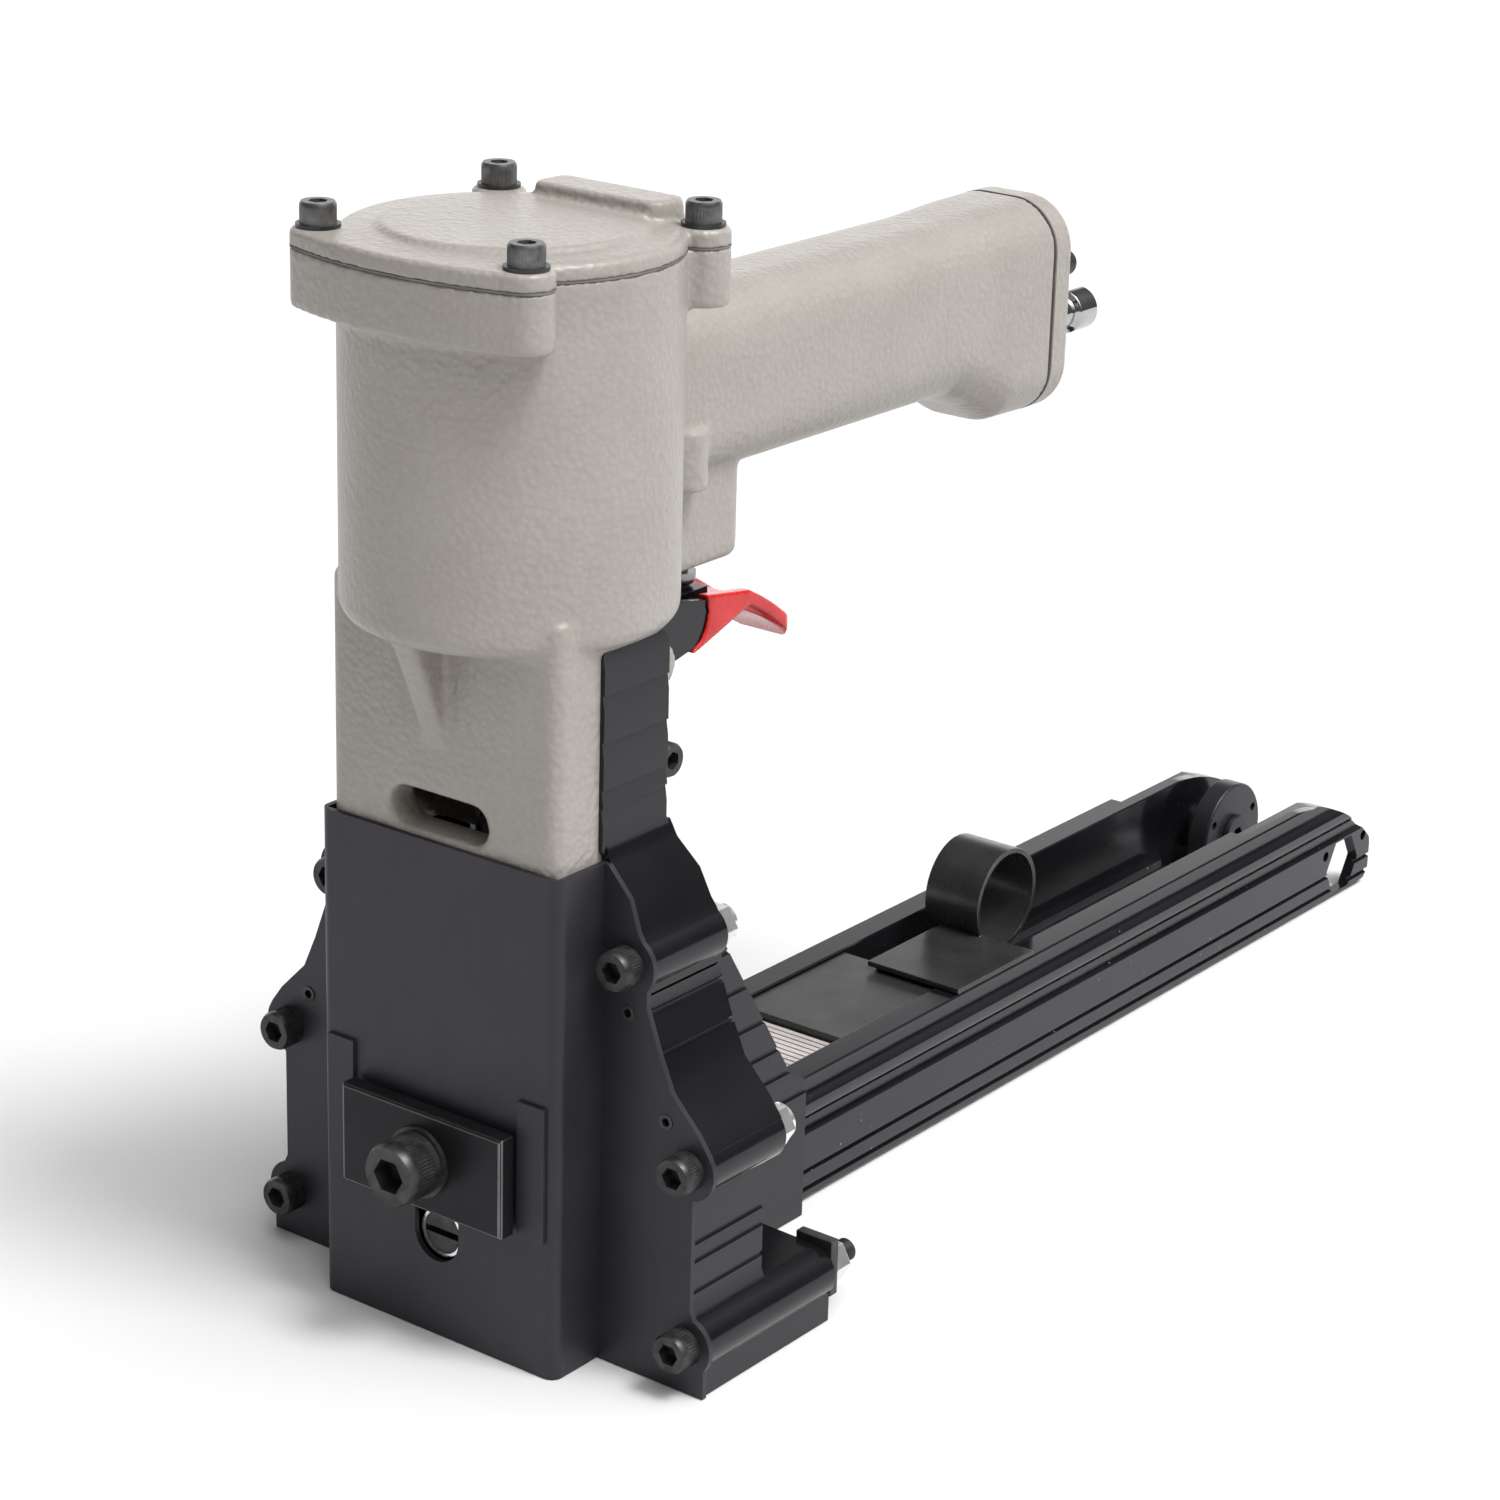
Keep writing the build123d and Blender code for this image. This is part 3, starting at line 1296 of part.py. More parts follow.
with BuildPart() as right_clincher:
    with BuildSketch(at_y(claw_thick / 2)):
        with BuildLine():
            tail_outer = on_claw(claw_outer, claw_half_swing)
            tail_inner = on_claw(claw_inner, claw_half_swing)
            tip = on_claw(claw_middle, -claw_half_swing)
            ThreePointArc(tail_outer, on_claw(claw_outer - 0.4, 0), tip)
            ThreePointArc(tip, on_claw(claw_inner + 0.4, 0), tail_inner)
            Line(tail_inner, tail_outer)
        make_face()
        with BuildLine():
            Polyline(
                on_claw(hub_radius - 1, claw_half_swing + 90),
                on_claw(claw_outer - 2, claw_half_swing + 6),
                on_claw(claw_outer - 2, claw_half_swing - 12),
                on_claw(hub_radius - 1, claw_half_swing - 90),
                close=True,
            )
        make_face()
        with Locations((claw_pivot_x, claw_pivot_z)):
            Circle(hub_radius)
        with Locations((drive_pin_x, drive_pin_z)):
            Circle(drive_pin + 2.2)
        with Locations((claw_pivot_x, claw_pivot_z)):
            Circle(claw_pin + run, mode=Mode.SUBTRACT)
        with Locations((drive_pin_x, drive_pin_z)):
            Circle(drive_pin, mode=Mode.SUBTRACT)
    extrude(amount=claw_thick)
right_clincher.part.label = "right_clincher"
export_step(right_clincher.part, "parts/right_clincher.step")

with BuildPart() as left_clincher:
    mirror(right_clincher.part, about=Plane.YZ)
left_clincher.part.label = "left_clincher"
export_step(left_clincher.part, "parts/left_clincher.step")

with BuildPart() as right_clincher_pin:
    with BuildSketch(at_y(yoke_front + yoke_thick)):
        with Locations((drive_pin_x, drive_pin_z)):
            Circle(drive_pin)
    extrude(amount=yoke_front + yoke_thick + claw_thick / 2)
right_clincher_pin.part.label = "right_clincher_pin"
export_step(right_clincher_pin.part, "parts/right_clincher_pin.step")

with BuildPart() as left_clincher_pin:
    mirror(right_clincher_pin.part, about=Plane.YZ)
left_clincher_pin.part.label = "left_clincher_pin"
export_step(left_clincher_pin.part, "parts/left_clincher_pin.step")

# Side frames: a straight plate beside the nose, a flared shell and a wall beside the rail
wall_thick = 4.0
wall_outer = rail_outer + wall_thick
wall_top = flare_top - 1.0
wall_slant_low = 43.0
wall_back = 84.0
foot_top = 20.0
groove = 0.7
plate_bevel = 0.9
plate_bevel_height = 4.4
plate_step_in = 0.6
plate_step_height = 4.0
plate_steps = [
    plate_top - share * (plate_top - flare_top) for share in (0.225, 0.467, 0.714, 0.813)
]
flare_grooves = [
    (upper_bolt[0] + 1.2, upper_bolt[1] + 15.5),
    (upper_bolt[0] + 4.5, upper_bolt[1] - 6.8),
    (upper_bolt[0] + 5.9, upper_bolt[1] - 11.2),
    (upper_bolt[0] + 9.2, upper_bolt[1] - 20.5),
]
lower_grooves = [39.0, 34.2, 26.0]
wall_grooves = [36.0, 44.0, 52.0, 62.0, 74.0, 86.0, 98.0, 110.0]
side_wall_x = middle_bolt[0] + 0.8

with BuildPart() as right_side_frame:
    # Flared shell, solid at first
    with BuildSketch(at_y(frame_back)):
        with BuildLine():
            Polyline(
                (nose_half, 0),
                *flare_points(0),
                (plate_outer + 1.7, flare_top - 4.5),
                (plate_outer, flare_top),
                (nose_half, flare_top),
                close=True,
            )
        make_face()
        with Locations(*frame_bolts):
            Circle(frame_boss)
    extrude(amount=frame_back - frame_front)
    # Hollow for the clinchers, open to the front, the middle and below
    with BuildSketch(at_y(frame_back - web_thick)):
        with BuildLine():
            Polyline(
                (nose_half - 1, -1),
                (lower_bolt[0] - 1, -1),
                *[(x - frame_wall, z) for x, z in flare_points(0)],
                (nose_half - 1, flare_top - 6),
                close=True,
            )
        make_face()
        with Locations(*frame_bolts):
            Circle(frame_boss, mode=Mode.SUBTRACT)
    extrude(amount=frame_back - web_thick - frame_front, mode=Mode.SUBTRACT)
    # Plate beside the nose
    with BuildSketch(Plane.YZ.offset(nose_half)):
        with Locations(((plate_front + plate_back) / 2, (flare_top - 3 + plate_top) / 2)):
            RectangleRounded(plate_back - plate_front, plate_top - flare_top + 3, 2.0)
    extrude(amount=plate_thick)
    # Bevelled top of the plate, and steps down its face
    with BuildSketch(at_y(plate_back)):
        with BuildLine():
            Polyline(
                (plate_outer - plate_bevel, plate_top),
                (plate_outer, plate_top - plate_bevel_height),
                (plate_outer + 1, plate_top - plate_bevel_height),
                (plate_outer + 1, plate_top),
                close=True,
            )
        make_face()
        for level in plate_steps:
            with BuildLine() as step:
                Polyline(
                    (plate_outer - plate_step_in, level),
                    (plate_outer, level - plate_step_height),
                    (plate_outer + 1, level - plate_step_height),
                    (plate_outer + 1, level),
                    close=True,
                )
            make_face(step.edges())
    extrude(amount=plate_back - plate_front, mode=Mode.SUBTRACT)
    # Wall beside the magazine rail, joined to the shell by its back web
    with BuildSketch(Plane.YZ.offset(rail_outer)):
        with BuildLine():
            Polyline(
                (frame_back - web_thick, 0),
                (wall_back, 0),
                (wall_back, wall_slant_low - 4),
                (wall_back - 7, wall_slant_low),
                (frame_back, wall_top),
                (frame_back - web_thick, wall_top),
                close=True,
            )
        make_face()
    extrude(amount=wall_thick)
    with BuildSketch(at_y(frame_back)):
        with Locations(((rail_outer + nose_half + 1) / 2, flare_top / 2)):
            Rectangle(nose_half + 1 - rail_outer, flare_top)
    extrude(amount=web_thick)
    # Foot with the lower boss
    with BuildSketch(at_y(foot_back)):
        with BuildLine():
            Polyline(
                (rail_outer, 0),
                (lower_bolt[0] + 5.2, 0),
                (lower_bolt[0] + 5.2, lower_bolt[1]),
                (lower_bolt[0], lower_bolt[1] + frame_boss),
                (rail_outer + 10, foot_top),
                (rail_outer, foot_top + 8),
                close=True,
            )
        make_face()
        with Locations(lower_bolt):
            Circle(frame_boss)
    extrude(amount=foot_back - frame_back + web_thick)
    # Bolt holes
    with BuildSketch(at_y(foot_back)):
        with Locations(*frame_bolts):
            Circle(frame_bolt + bolt_gap)
    extrude(amount=foot_back - frame_front, mode=Mode.SUBTRACT)
    # The shell's back leans forward above the upper bolts
    with BuildSketch(Plane.YZ.offset(wall_outer)):
        with BuildLine():
            Polyline(
                (plate_back, flare_top + 7),
                (frame_back, upper_bolt[1] + frame_boss),
                (frame_back + 1, upper_bolt[1] + frame_boss),
                (frame_back + 1, flare_top + 7),
                close=True,
            )
        make_face()
    extrude(amount=lower_bolt[0], mode=Mode.SUBTRACT)
    # Seats for the set screws
    with BuildSketch(at_y(frame_front)):
        with Locations(*set_screw_places):
            Circle(set_screw)
    extrude(amount=-set_screw, mode=Mode.SUBTRACT)
    # Grooves along the outer faces
    with BuildSketch(at_y(foot_back)):
        with Locations(*flare_grooves):
            Circle(groove)
        with Locations(*[(side_wall_x, z) for z in lower_grooves]):
            Circle(groove)
    extrude(amount=foot_back - plate_front, mode=Mode.SUBTRACT)
    with BuildSketch(at_y(wall_back)):
        with Locations(*[(wall_outer, z) for z in wall_grooves]):
            Circle(groove)
    extrude(amount=wall_back - frame_back, mode=Mode.SUBTRACT)
right_side_frame.part.label = "right_side_frame"
export_step(right_side_frame.part, "parts/right_side_frame.step")

with BuildPart() as left_side_frame:
    mirror(right_side_frame.part, about=Plane.YZ)
left_side_frame.part.label = "left_side_frame"
export_step(left_side_frame.part, "parts/left_side_frame.step")

# Frame screws with their nuts
nut_width = 10.0
nut_height = 5.5
dome_radius = 4.6
dome_neck = 1.5
backing_thick = 3.0
backing_width = 11.0
backing_height = 15.0
stud_end = 11.0
short_grip = frame_back + flange_face + nut_height + 1.0
long_grip = foot_back + flange_face + backing_thick + stud_end
m6_head = 5.0
m6_head_height = 6.0
m6_key = 5.0
short_screw = socket_screw(frame_bolt, short_grip, m6_head, m6_head_height, m6_key)
long_screw = socket_screw(frame_bolt, long_grip, m6_head, m6_head_height, m6_key)

with BuildPart() as frame_screws:
    for side in both_sides:
        with Locations(*[facing_front(side * x, -flange_face, z) for x, z in (upper_bolt, middle_bolt)]):
            add(short_screw)
        with Locations(facing_front(side * lower_bolt[0], -flange_face, lower_bolt[1])):
            add(long_screw)
frame_screws.part.label = "frame_screws"
export_step(frame_screws.part, "parts/frame_screws.step")

with BuildPart() as acorn_nut:
    with BuildSketch():
        RegularPolygon(nut_width / 2, 6, major_radius=False)
    extrude(amount=nut_height)
    with Locations((0, 0, nut_height)):
        Cylinder(dome_radius, dome_neck, align=(Align.CENTER, Align.CENTER, Align.MIN))
    with Locations((0, 0, nut_height + dome_neck)):
        Sphere(dome_radius, arc_size1=0)
    Cylinder(
        frame_bolt,
        nut_height + 1.0,
        align=(Align.CENTER, Align.CENTER, Align.MIN),
        mode=Mode.SUBTRACT,
    )

with BuildPart() as acorn_nuts:
    for side in both_sides:
        with Locations(*[facing_back(side * x, frame_back, z) for x, z in (upper_bolt, middle_bolt)]):
            add(acorn_nut.part)
acorn_nuts.part.label = "acorn_nuts"
export_step(acorn_nuts.part, "parts/acorn_nuts.step")

with BuildPart() as backing_plates:
    for side in both_sides:
        with BuildSketch(at_y(foot_back)):
            with Locations((side * lower_bolt[0], lower_bolt[1] + 1.5)):
                Rectangle(backing_width, backing_height)
            with Locations((side * lower_bolt[0], lower_bolt[1])):
                Circle(frame_bolt + bolt_gap, mode=Mode.SUBTRACT)
        extrude(amount=-backing_thick)
backing_plates.part.label = "backing_plates"
export_step(backing_plates.part, "parts/backing_plates.step")

with BuildPart() as stud_nuts:
    for side in both_sides:
        with BuildSketch(at_y(foot_back + backing_thick)):
            with Locations((side * lower_bolt[0], lower_bolt[1])):
                RegularPolygon(nut_width / 2, 6, major_radius=False)
                Circle(frame_bolt, mode=Mode.SUBTRACT)
        extrude(amount=-nut_height)
stud_nuts.part.label = "stud_nuts"
export_step(stud_nuts.part, "parts/stud_nuts.step")

with BuildPart() as set_screws:
    for side in both_sides:
        with BuildSketch(at_y(frame_front + set_screw)):
            with Locations(*[(side * x, z) for x, z in set_screw_places]):
                Circle(set_screw)
        extrude(amount=cover_sheet + set_screw + set_screw_proud)
        with BuildSketch(at_y(-flange_face - set_screw_proud)):
            with Locations(*[(side * x, z) for x, z in set_screw_places]):
                RegularPolygon(set_screw / 2, 6, major_radius=False)
        extrude(amount=-set_screw, mode=Mode.SUBTRACT)
set_screws.part.label = "set_screws"
export_step(set_screws.part, "parts/set_screws.step")

# Magazine rails, extruded along Y, with a ledge that carries the staples' points
cove = 2.6
slot_depth = 1.8
rail_length = rail_back - rail_front
hex_width = 17.0
hex_wall = 3.5  # metal left behind the hexagonal hole
hex_margin = 2.0  # the pocket reaches this far past the hole's flats
small_hole = 1.6
step_depth = 2.0
step_width = 5.0
step_start = rail_slope_start - 28.0
step_end = rail_slope_start + 20.0
ledge_end = rail_slope_start - 15.0

# Pin at the front of the channel, round which the ribbon turns back to the pusher
ribbon_low = drum_z - drum_radius - run  # upper face of the ribbon's run along the channel's floor
ribbon_pin_z = ribbon_low + run + ribbon_pin
with BuildPart() as ribbon_guide_pin:
    with BuildSketch(Plane.YZ):
        with Locations((ribbon_pin_y, ribbon_pin_z)):
            Circle(ribbon_pin)
    extrude(amount=channel_half + ribbon_pin_seat, both=True)
ribbon_guide_pin.part.label = "ribbon_guide_pin"
export_step(ribbon_guide_pin.part, "parts/ribbon_guide_pin.step")

with BuildPart() as plain_rail:
    with BuildSketch(at_y(rail_front)):
        with BuildLine():
            Polyline(
                (channel_half, 0),
                (rail_outer - 1.5, 0),
                (rail_outer, 1.5),
                (rail_outer, 3.0),
                (rail_outer - 1.0, 3.4),
                (rail_outer - 1.0, 4.0),
                (rail_outer, 4.4),
                (rail_outer, 8.2),
                (rail_outer - 1.0, 8.6),
                (rail_outer - 1.0, 9.1),
                (rail_outer, 9.5),
                (rail_outer, 19.7),
                (rail_outer - slot_depth, 20.6),
                (rail_outer - slot_depth, 23.0),
                (rail_outer - 0.8, 24.2),
                (rail_outer, 25.6),
                (rail_outer, 28.2),
                (rail_outer - 0.8, 29.4),
                (rail_outer - cove, 30.4),
                (rail_outer - cove, 33.6),
                (rail_outer, 35.4),
                (rail_outer, rail_top - 0.4),
                (rail_outer - 0.4, rail_top),
                (channel_half + 0.4, rail_top),
                (channel_half, rail_top - 0.4),
                close=True,
            )
        make_face()
    extrude(amount=-rail_length)
    # Ledge under the staples' points, cut short ahead of the spring drum
    with BuildSketch(at_y(rail_front)):
        with BuildLine():
            Polyline(
                (channel_half, ledge_top - 6.0),
                (channel_half, ledge_top),
                (channel_half - ledge_width, ledge_top),
                (channel_half - ledge_width, ledge_top - 2.5),
                close=True,
            )
        make_face()
    extrude(amount=-(ledge_end - rail_front))
    # Rounded rear end
    with BuildSketch(Plane.YZ.offset(channel_half - 1)):
        with BuildLine():
            slope = ThreePointArc(
                (rail_slope_start, rail_top),
                (rail_slope_start + 28.0, rail_top - 7.4),
                (rail_back - 0.5, rail_top - 21.5),
            )
            Polyline(
                slope @ 1,
                (rail_back, rail_top - 24.0),
                (rail_back, 4.0),
                (rail_back - 4.0, 0),
                (rail_back - 4.0, -1),
                (rail_back + 1, -1),
                (rail_back + 1, rail_top + 1),
                (rail_slope_start, rail_top + 1),
                slope @ 0,
            )
        make_face()
    extrude(amount=rail_thick + 2, mode=Mode.SUBTRACT)
    # Hexagonal hole and two small holes
    with BuildSketch(Plane.YZ.offset(channel_half - 1)):
        with Locations((hex_y, hex_z)):
            RegularPolygon(hex_width / 2, 6, major_radius=False)
        with Locations((hex_y - 11.2, hex_z + 5.8), (hex_y + 12.6, hex_z + 6.3)):
            Circle(small_hole)
    extrude(amount=rail_thick + 2, mode=Mode.SUBTRACT)
    # Pocket in the inner face behind the hexagonal hole, open below and at the rear end
    with BuildSketch(Plane.YZ.offset(channel_half - 1)):
        with BuildLine():
            Polyline(
                (hex_y - hex_width / 2 - hex_margin, -1),
                (hex_y - hex_width / 2 - hex_margin, hex_z + hex_width / 2 + hex_margin),
                (rail_back + 1, hex_z + hex_width / 2 + hex_margin),
                (rail_back + 1, -1),
                close=True,
            )
        make_face()
    extrude(amount=rail_thick - hex_wall + 1, mode=Mode.SUBTRACT)
    # Seat of the ribbon's pin, cut through the ledge too
    with BuildSketch(Plane.YZ.offset(channel_half - ledge_width - 1)):
        with Locations((ribbon_pin_y, ribbon_pin_z)):
            Circle(ribbon_pin)
    extrude(amount=ledge_width + 1 + ribbon_pin_seat, mode=Mode.SUBTRACT)


def step_tool(low_x):
    """The metal milled out of a rail's top near its rear end, from low_x towards +X."""
    with BuildPart() as cutter:
        with BuildSketch(Plane.YZ.offset(low_x)):
            with Locations(((step_start + step_end) / 2, rail_top)):
                Rectangle(step_end - step_start, 2 * step_depth)
        extrude(amount=step_width)
    return cutter.part


right_step = step_tool(channel_half)
left_step = step_tool(-rail_outer)
with BuildPart() as right_magazine_rail:
    add(plain_rail.part)
    add(right_step, mode=Mode.SUBTRACT)
right_magazine_rail.part.label = "right_magazine_rail"
export_step(right_magazine_rail.part, "parts/right_magazine_rail.step")

with BuildPart() as left_magazine_rail:
    mirror(plain_rail.part, about=Plane.YZ)
    add(left_step, mode=Mode.SUBTRACT)
    # Hole for the spring drum's axle
    with BuildSketch(Plane.YZ.offset(-rail_outer)):
        with Locations((drum_y, drum_z)):
            Circle(axle_radius)
    extrude(amount=rail_thick, mode=Mode.SUBTRACT)
left_magazine_rail.part.label = "left_magazine_rail"
export_step(left_magazine_rail.part, "parts/left_magazine_rail.step")

# Staple strip, glued staples with a groove between neighbours
groove_half = 0.12
with BuildPart() as staple_strip:
    with BuildSketch(at_y(strip_front)):
        with Locations((0, crown_top - leg_length / 2)):
            Rectangle(2 * crown_half, leg_length)
        with Locations((0, crown_top - leg_length / 2 - wire_thick)):
            Rectangle(2 * (crown_half - wire_thick), leg_length, mode=Mode.SUBTRACT)
    extrude(amount=-(strip_back - strip_front))
    with BuildSketch(Plane.XY.offset(crown_top)):
        with Locations(*[(0, strip_front + n * wire_width) for n in range(1, staple_count)]):
            Rectangle(2 * crown_half, 2 * groove_half)
    extrude(amount=-groove_half, mode=Mode.SUBTRACT)
staple_strip.part.label = "staple_strip"
export_step(staple_strip.part, "parts/staple_strip.step")

# Pusher: a shoe in the channel, and a sheet with a finger ring that rides over the right rail
shoe_length = 32.0
ribbon_high = ribbon_pin_z + ribbon_pin + run  # lower face of the ribbon's run to the pusher
lug_below = 1.0  # the lug reaches this far below the ribbon
ribbon_lug_length = 10.0
plate_sheet = 1.5
low_plate = crown_top + 0.6
high_plate = rail_top + slip
plate_step = strip_back + 49.0
plate_back_end = strip_back + pusher_length
high_left = -5.0

with BuildPart() as pusher_shoe:
    with BuildSketch(at_y(strip_back + slip)):
        with Locations((0, (ledge_top + slip + low_plate) / 2)):
            Rectangle(2 * (channel_half - slip), low_plate - ledge_top - slip)
    extrude(amount=-shoe_length)
    chamfer(pusher_shoe.edges().filter_by(Axis.Y), 0.5)
    # Lug that holds the ribbon's end, between the ledges
    with BuildSketch(at_y(strip_back + slip)):
        with Locations((drum_left + drum_width / 2, ribbon_high - lug_below)):
            Rectangle(
                drum_width, ledge_top + 2 - ribbon_high + lug_below, align=(Align.CENTER, Align.MIN)
            )
    extrude(amount=-ribbon_lug_length)
pusher_shoe.part.label = "pusher_shoe"
export_step(pusher_shoe.part, "parts/pusher_shoe.step")

with BuildPart() as pusher_plate:
    with BuildSketch(Plane.XY.offset(low_plate)):
        with Locations((0, (strip_back + slip + plate_step) / 2)):
            Rectangle(2 * (channel_half - slip), plate_step - strip_back - slip)
    extrude(amount=plate_sheet)
    with BuildSketch(Plane.XY.offset(low_plate)):
        with Locations(((high_left + channel_half - slip) / 2, plate_step - 1.0)):
            Rectangle(channel_half - slip - high_left, 2.0)
    extrude(amount=high_plate + plate_sheet - low_plate)
    with BuildSketch(Plane.XY.offset(high_plate)):
        with Locations(((high_left + rail_outer) / 2, (plate_step - 6 + plate_back_end) / 2)):
            Rectangle(rail_outer - high_left, plate_back_end - plate_step + 6)
    extrude(amount=plate_sheet)
    # Finger ring, rolled from the same sheet
    with BuildSketch(Plane.YZ):
        with Locations((ring_y, ring_z)):
            Circle(ring_radius)
    extrude(amount=ring_half, both=True)
    with BuildSketch(Plane.YZ):
        with Locations((ring_y, ring_z)):
            Circle(ring_radius - ring_sheet)
    extrude(amount=rail_outer + 1, both=True, mode=Mode.SUBTRACT)
pusher_plate.part.label = "pusher_plate"
export_step(pusher_plate.part, "parts/pusher_plate.step")

# The ribbon's drum on the left rail, and the ribbon along the floor, round the pin and back to the shoe
axle_boss = 8.0
axle_head = 6.5
axle_head_thick = 1.6
axle_key = 5.0
axle_key_depth = 4.0
drum_hole_y = 11.8
drum_hole_z = 6.1
drum_hole = 1.3
with BuildPart() as spring_drum:
    with BuildSketch(Plane.YZ.offset(drum_left)):
        with Locations((drum_y, drum_z)):
            Circle(drum_radius)
            Circle(axle_radius + run, mode=Mode.SUBTRACT)
        with Locations(*[(drum_y + side * drum_hole_y, drum_z + drum_hole_z) for side in both_sides]):
            Circle(drum_hole, mode=Mode.SUBTRACT)
    extrude(amount=drum_width)
    chamfer(spring_drum.edges().filter_by(GeomType.CIRCLE).group_by(SortBy.RADIUS)[-1], 0.5)
spring_drum.part.label = "spring_drum"
export_step(spring_drum.part, "parts/spring_drum.step")

with BuildPart() as drum_axle:
    with BuildSketch(Plane.YZ.offset(-rail_outer)):
        with Locations((drum_y, drum_z)):
            Circle(axle_radius)
    extrude(amount=drum_left + drum_width + slip + rail_outer)
    with BuildSketch(Plane.YZ.offset(-channel_half)):
        with Locations((drum_y, drum_z)):
            Circle(axle_boss)
    extrude(amount=drum_left - slip + channel_half)
    with BuildSketch(Plane.YZ.offset(drum_left + drum_width + slip)):
        with Locations((drum_y, drum_z)):
            Circle(axle_head)
    extrude(amount=axle_head_thick)
    with BuildSketch(Plane.YZ.offset(drum_left + drum_width + slip + axle_head_thick)):
        with Locations((drum_y, drum_z)):
            RegularPolygon(axle_key / 2, 6, major_radius=False)
    extrude(amount=-axle_key_depth, mode=Mode.SUBTRACT)
drum_axle.part.label = "drum_axle"
export_step(drum_axle.part, "parts/drum_axle.step")

ribbon_turn = ribbon_pin + run
with BuildPart() as pusher_ribbon:
    with BuildSketch(Plane.YZ.offset(drum_left + ribbon_side)):
        with BuildLine():
            Line((drum_y, ribbon_low), (ribbon_pin_y, ribbon_low))
            ThreePointArc(
                (ribbon_pin_y, ribbon_low),
                (ribbon_pin_y - ribbon_turn, ribbon_pin_z),
                (ribbon_pin_y, ribbon_high),
            )
            Polyline(
                (ribbon_pin_y, ribbon_high),
                (strip_back + slip, ribbon_high),
                (strip_back + slip, ribbon_high + ribbon_thick),
                (ribbon_pin_y, ribbon_high + ribbon_thick),
            )
            ThreePointArc(
                (ribbon_pin_y, ribbon_high + ribbon_thick),
                (ribbon_pin_y - ribbon_turn - ribbon_thick, ribbon_pin_z),
                (ribbon_pin_y, ribbon_low - ribbon_thick),
            )
            Polyline(
                (ribbon_pin_y, ribbon_low - ribbon_thick),
                (drum_y, ribbon_low - ribbon_thick),
                (drum_y, ribbon_low),
            )
        make_face()
    extrude(amount=drum_width - 2 * ribbon_side)
pusher_ribbon.part.label = "pusher_ribbon"
export_step(pusher_ribbon.part, "parts/pusher_ribbon.step")
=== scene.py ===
# %% [markdown]
# # A pneumatic carton stapler
# This lesson dresses a CAD model for a studio picture. The CAD gives every piece its place, size
# and motion, so nothing here is moved. Each step takes one piece or one finish of the real tool, makes it
# look cast, pressed, rolled or dipped, and hands it back to the CAD body that it moves with.

import json
from math import cos, pi, radians, sin

import bmesh
import bpy
import numpy as np
from mathutils import Matrix, Vector


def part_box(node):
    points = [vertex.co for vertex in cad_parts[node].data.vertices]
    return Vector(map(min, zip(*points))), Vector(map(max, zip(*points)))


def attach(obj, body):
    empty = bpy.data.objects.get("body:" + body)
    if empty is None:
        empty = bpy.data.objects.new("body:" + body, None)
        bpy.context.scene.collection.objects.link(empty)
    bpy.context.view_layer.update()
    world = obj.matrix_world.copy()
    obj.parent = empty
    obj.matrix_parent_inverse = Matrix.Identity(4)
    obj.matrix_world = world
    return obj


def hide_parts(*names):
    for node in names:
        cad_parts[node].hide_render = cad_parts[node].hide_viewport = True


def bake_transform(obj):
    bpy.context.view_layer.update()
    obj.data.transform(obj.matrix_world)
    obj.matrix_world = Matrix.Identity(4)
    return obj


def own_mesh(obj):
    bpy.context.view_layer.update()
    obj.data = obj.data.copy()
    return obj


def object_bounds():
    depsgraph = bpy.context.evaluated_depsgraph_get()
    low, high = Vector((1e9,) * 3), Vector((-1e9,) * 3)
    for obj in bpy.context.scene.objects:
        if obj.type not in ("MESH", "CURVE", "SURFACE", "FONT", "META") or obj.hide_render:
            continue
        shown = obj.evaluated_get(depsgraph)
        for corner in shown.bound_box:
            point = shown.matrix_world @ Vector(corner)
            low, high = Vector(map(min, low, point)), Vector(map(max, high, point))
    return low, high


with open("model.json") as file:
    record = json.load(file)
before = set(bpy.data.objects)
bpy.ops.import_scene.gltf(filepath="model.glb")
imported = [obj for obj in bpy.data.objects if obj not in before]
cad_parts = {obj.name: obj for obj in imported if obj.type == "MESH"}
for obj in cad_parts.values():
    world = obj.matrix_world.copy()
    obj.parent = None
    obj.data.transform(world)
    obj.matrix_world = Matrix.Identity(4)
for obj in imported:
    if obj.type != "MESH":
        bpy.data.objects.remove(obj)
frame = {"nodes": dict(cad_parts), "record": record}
cad_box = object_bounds()
MM = 0.001
scene = bpy.context.scene

# %% [markdown]
# ## Tools for finishes
# A finish is a small graph of nodes. Every graph here starts from Object coordinates, which are metres in
# the model's own frame, so a grain of one millimetre stays one millimetre on every piece. The helpers
# below only save typing: each adds one node and returns its output.

# %% Helpers for finishes
NOISE_FEATURE = 1.0  # Blender's noise has about one bump per unit at scale 1


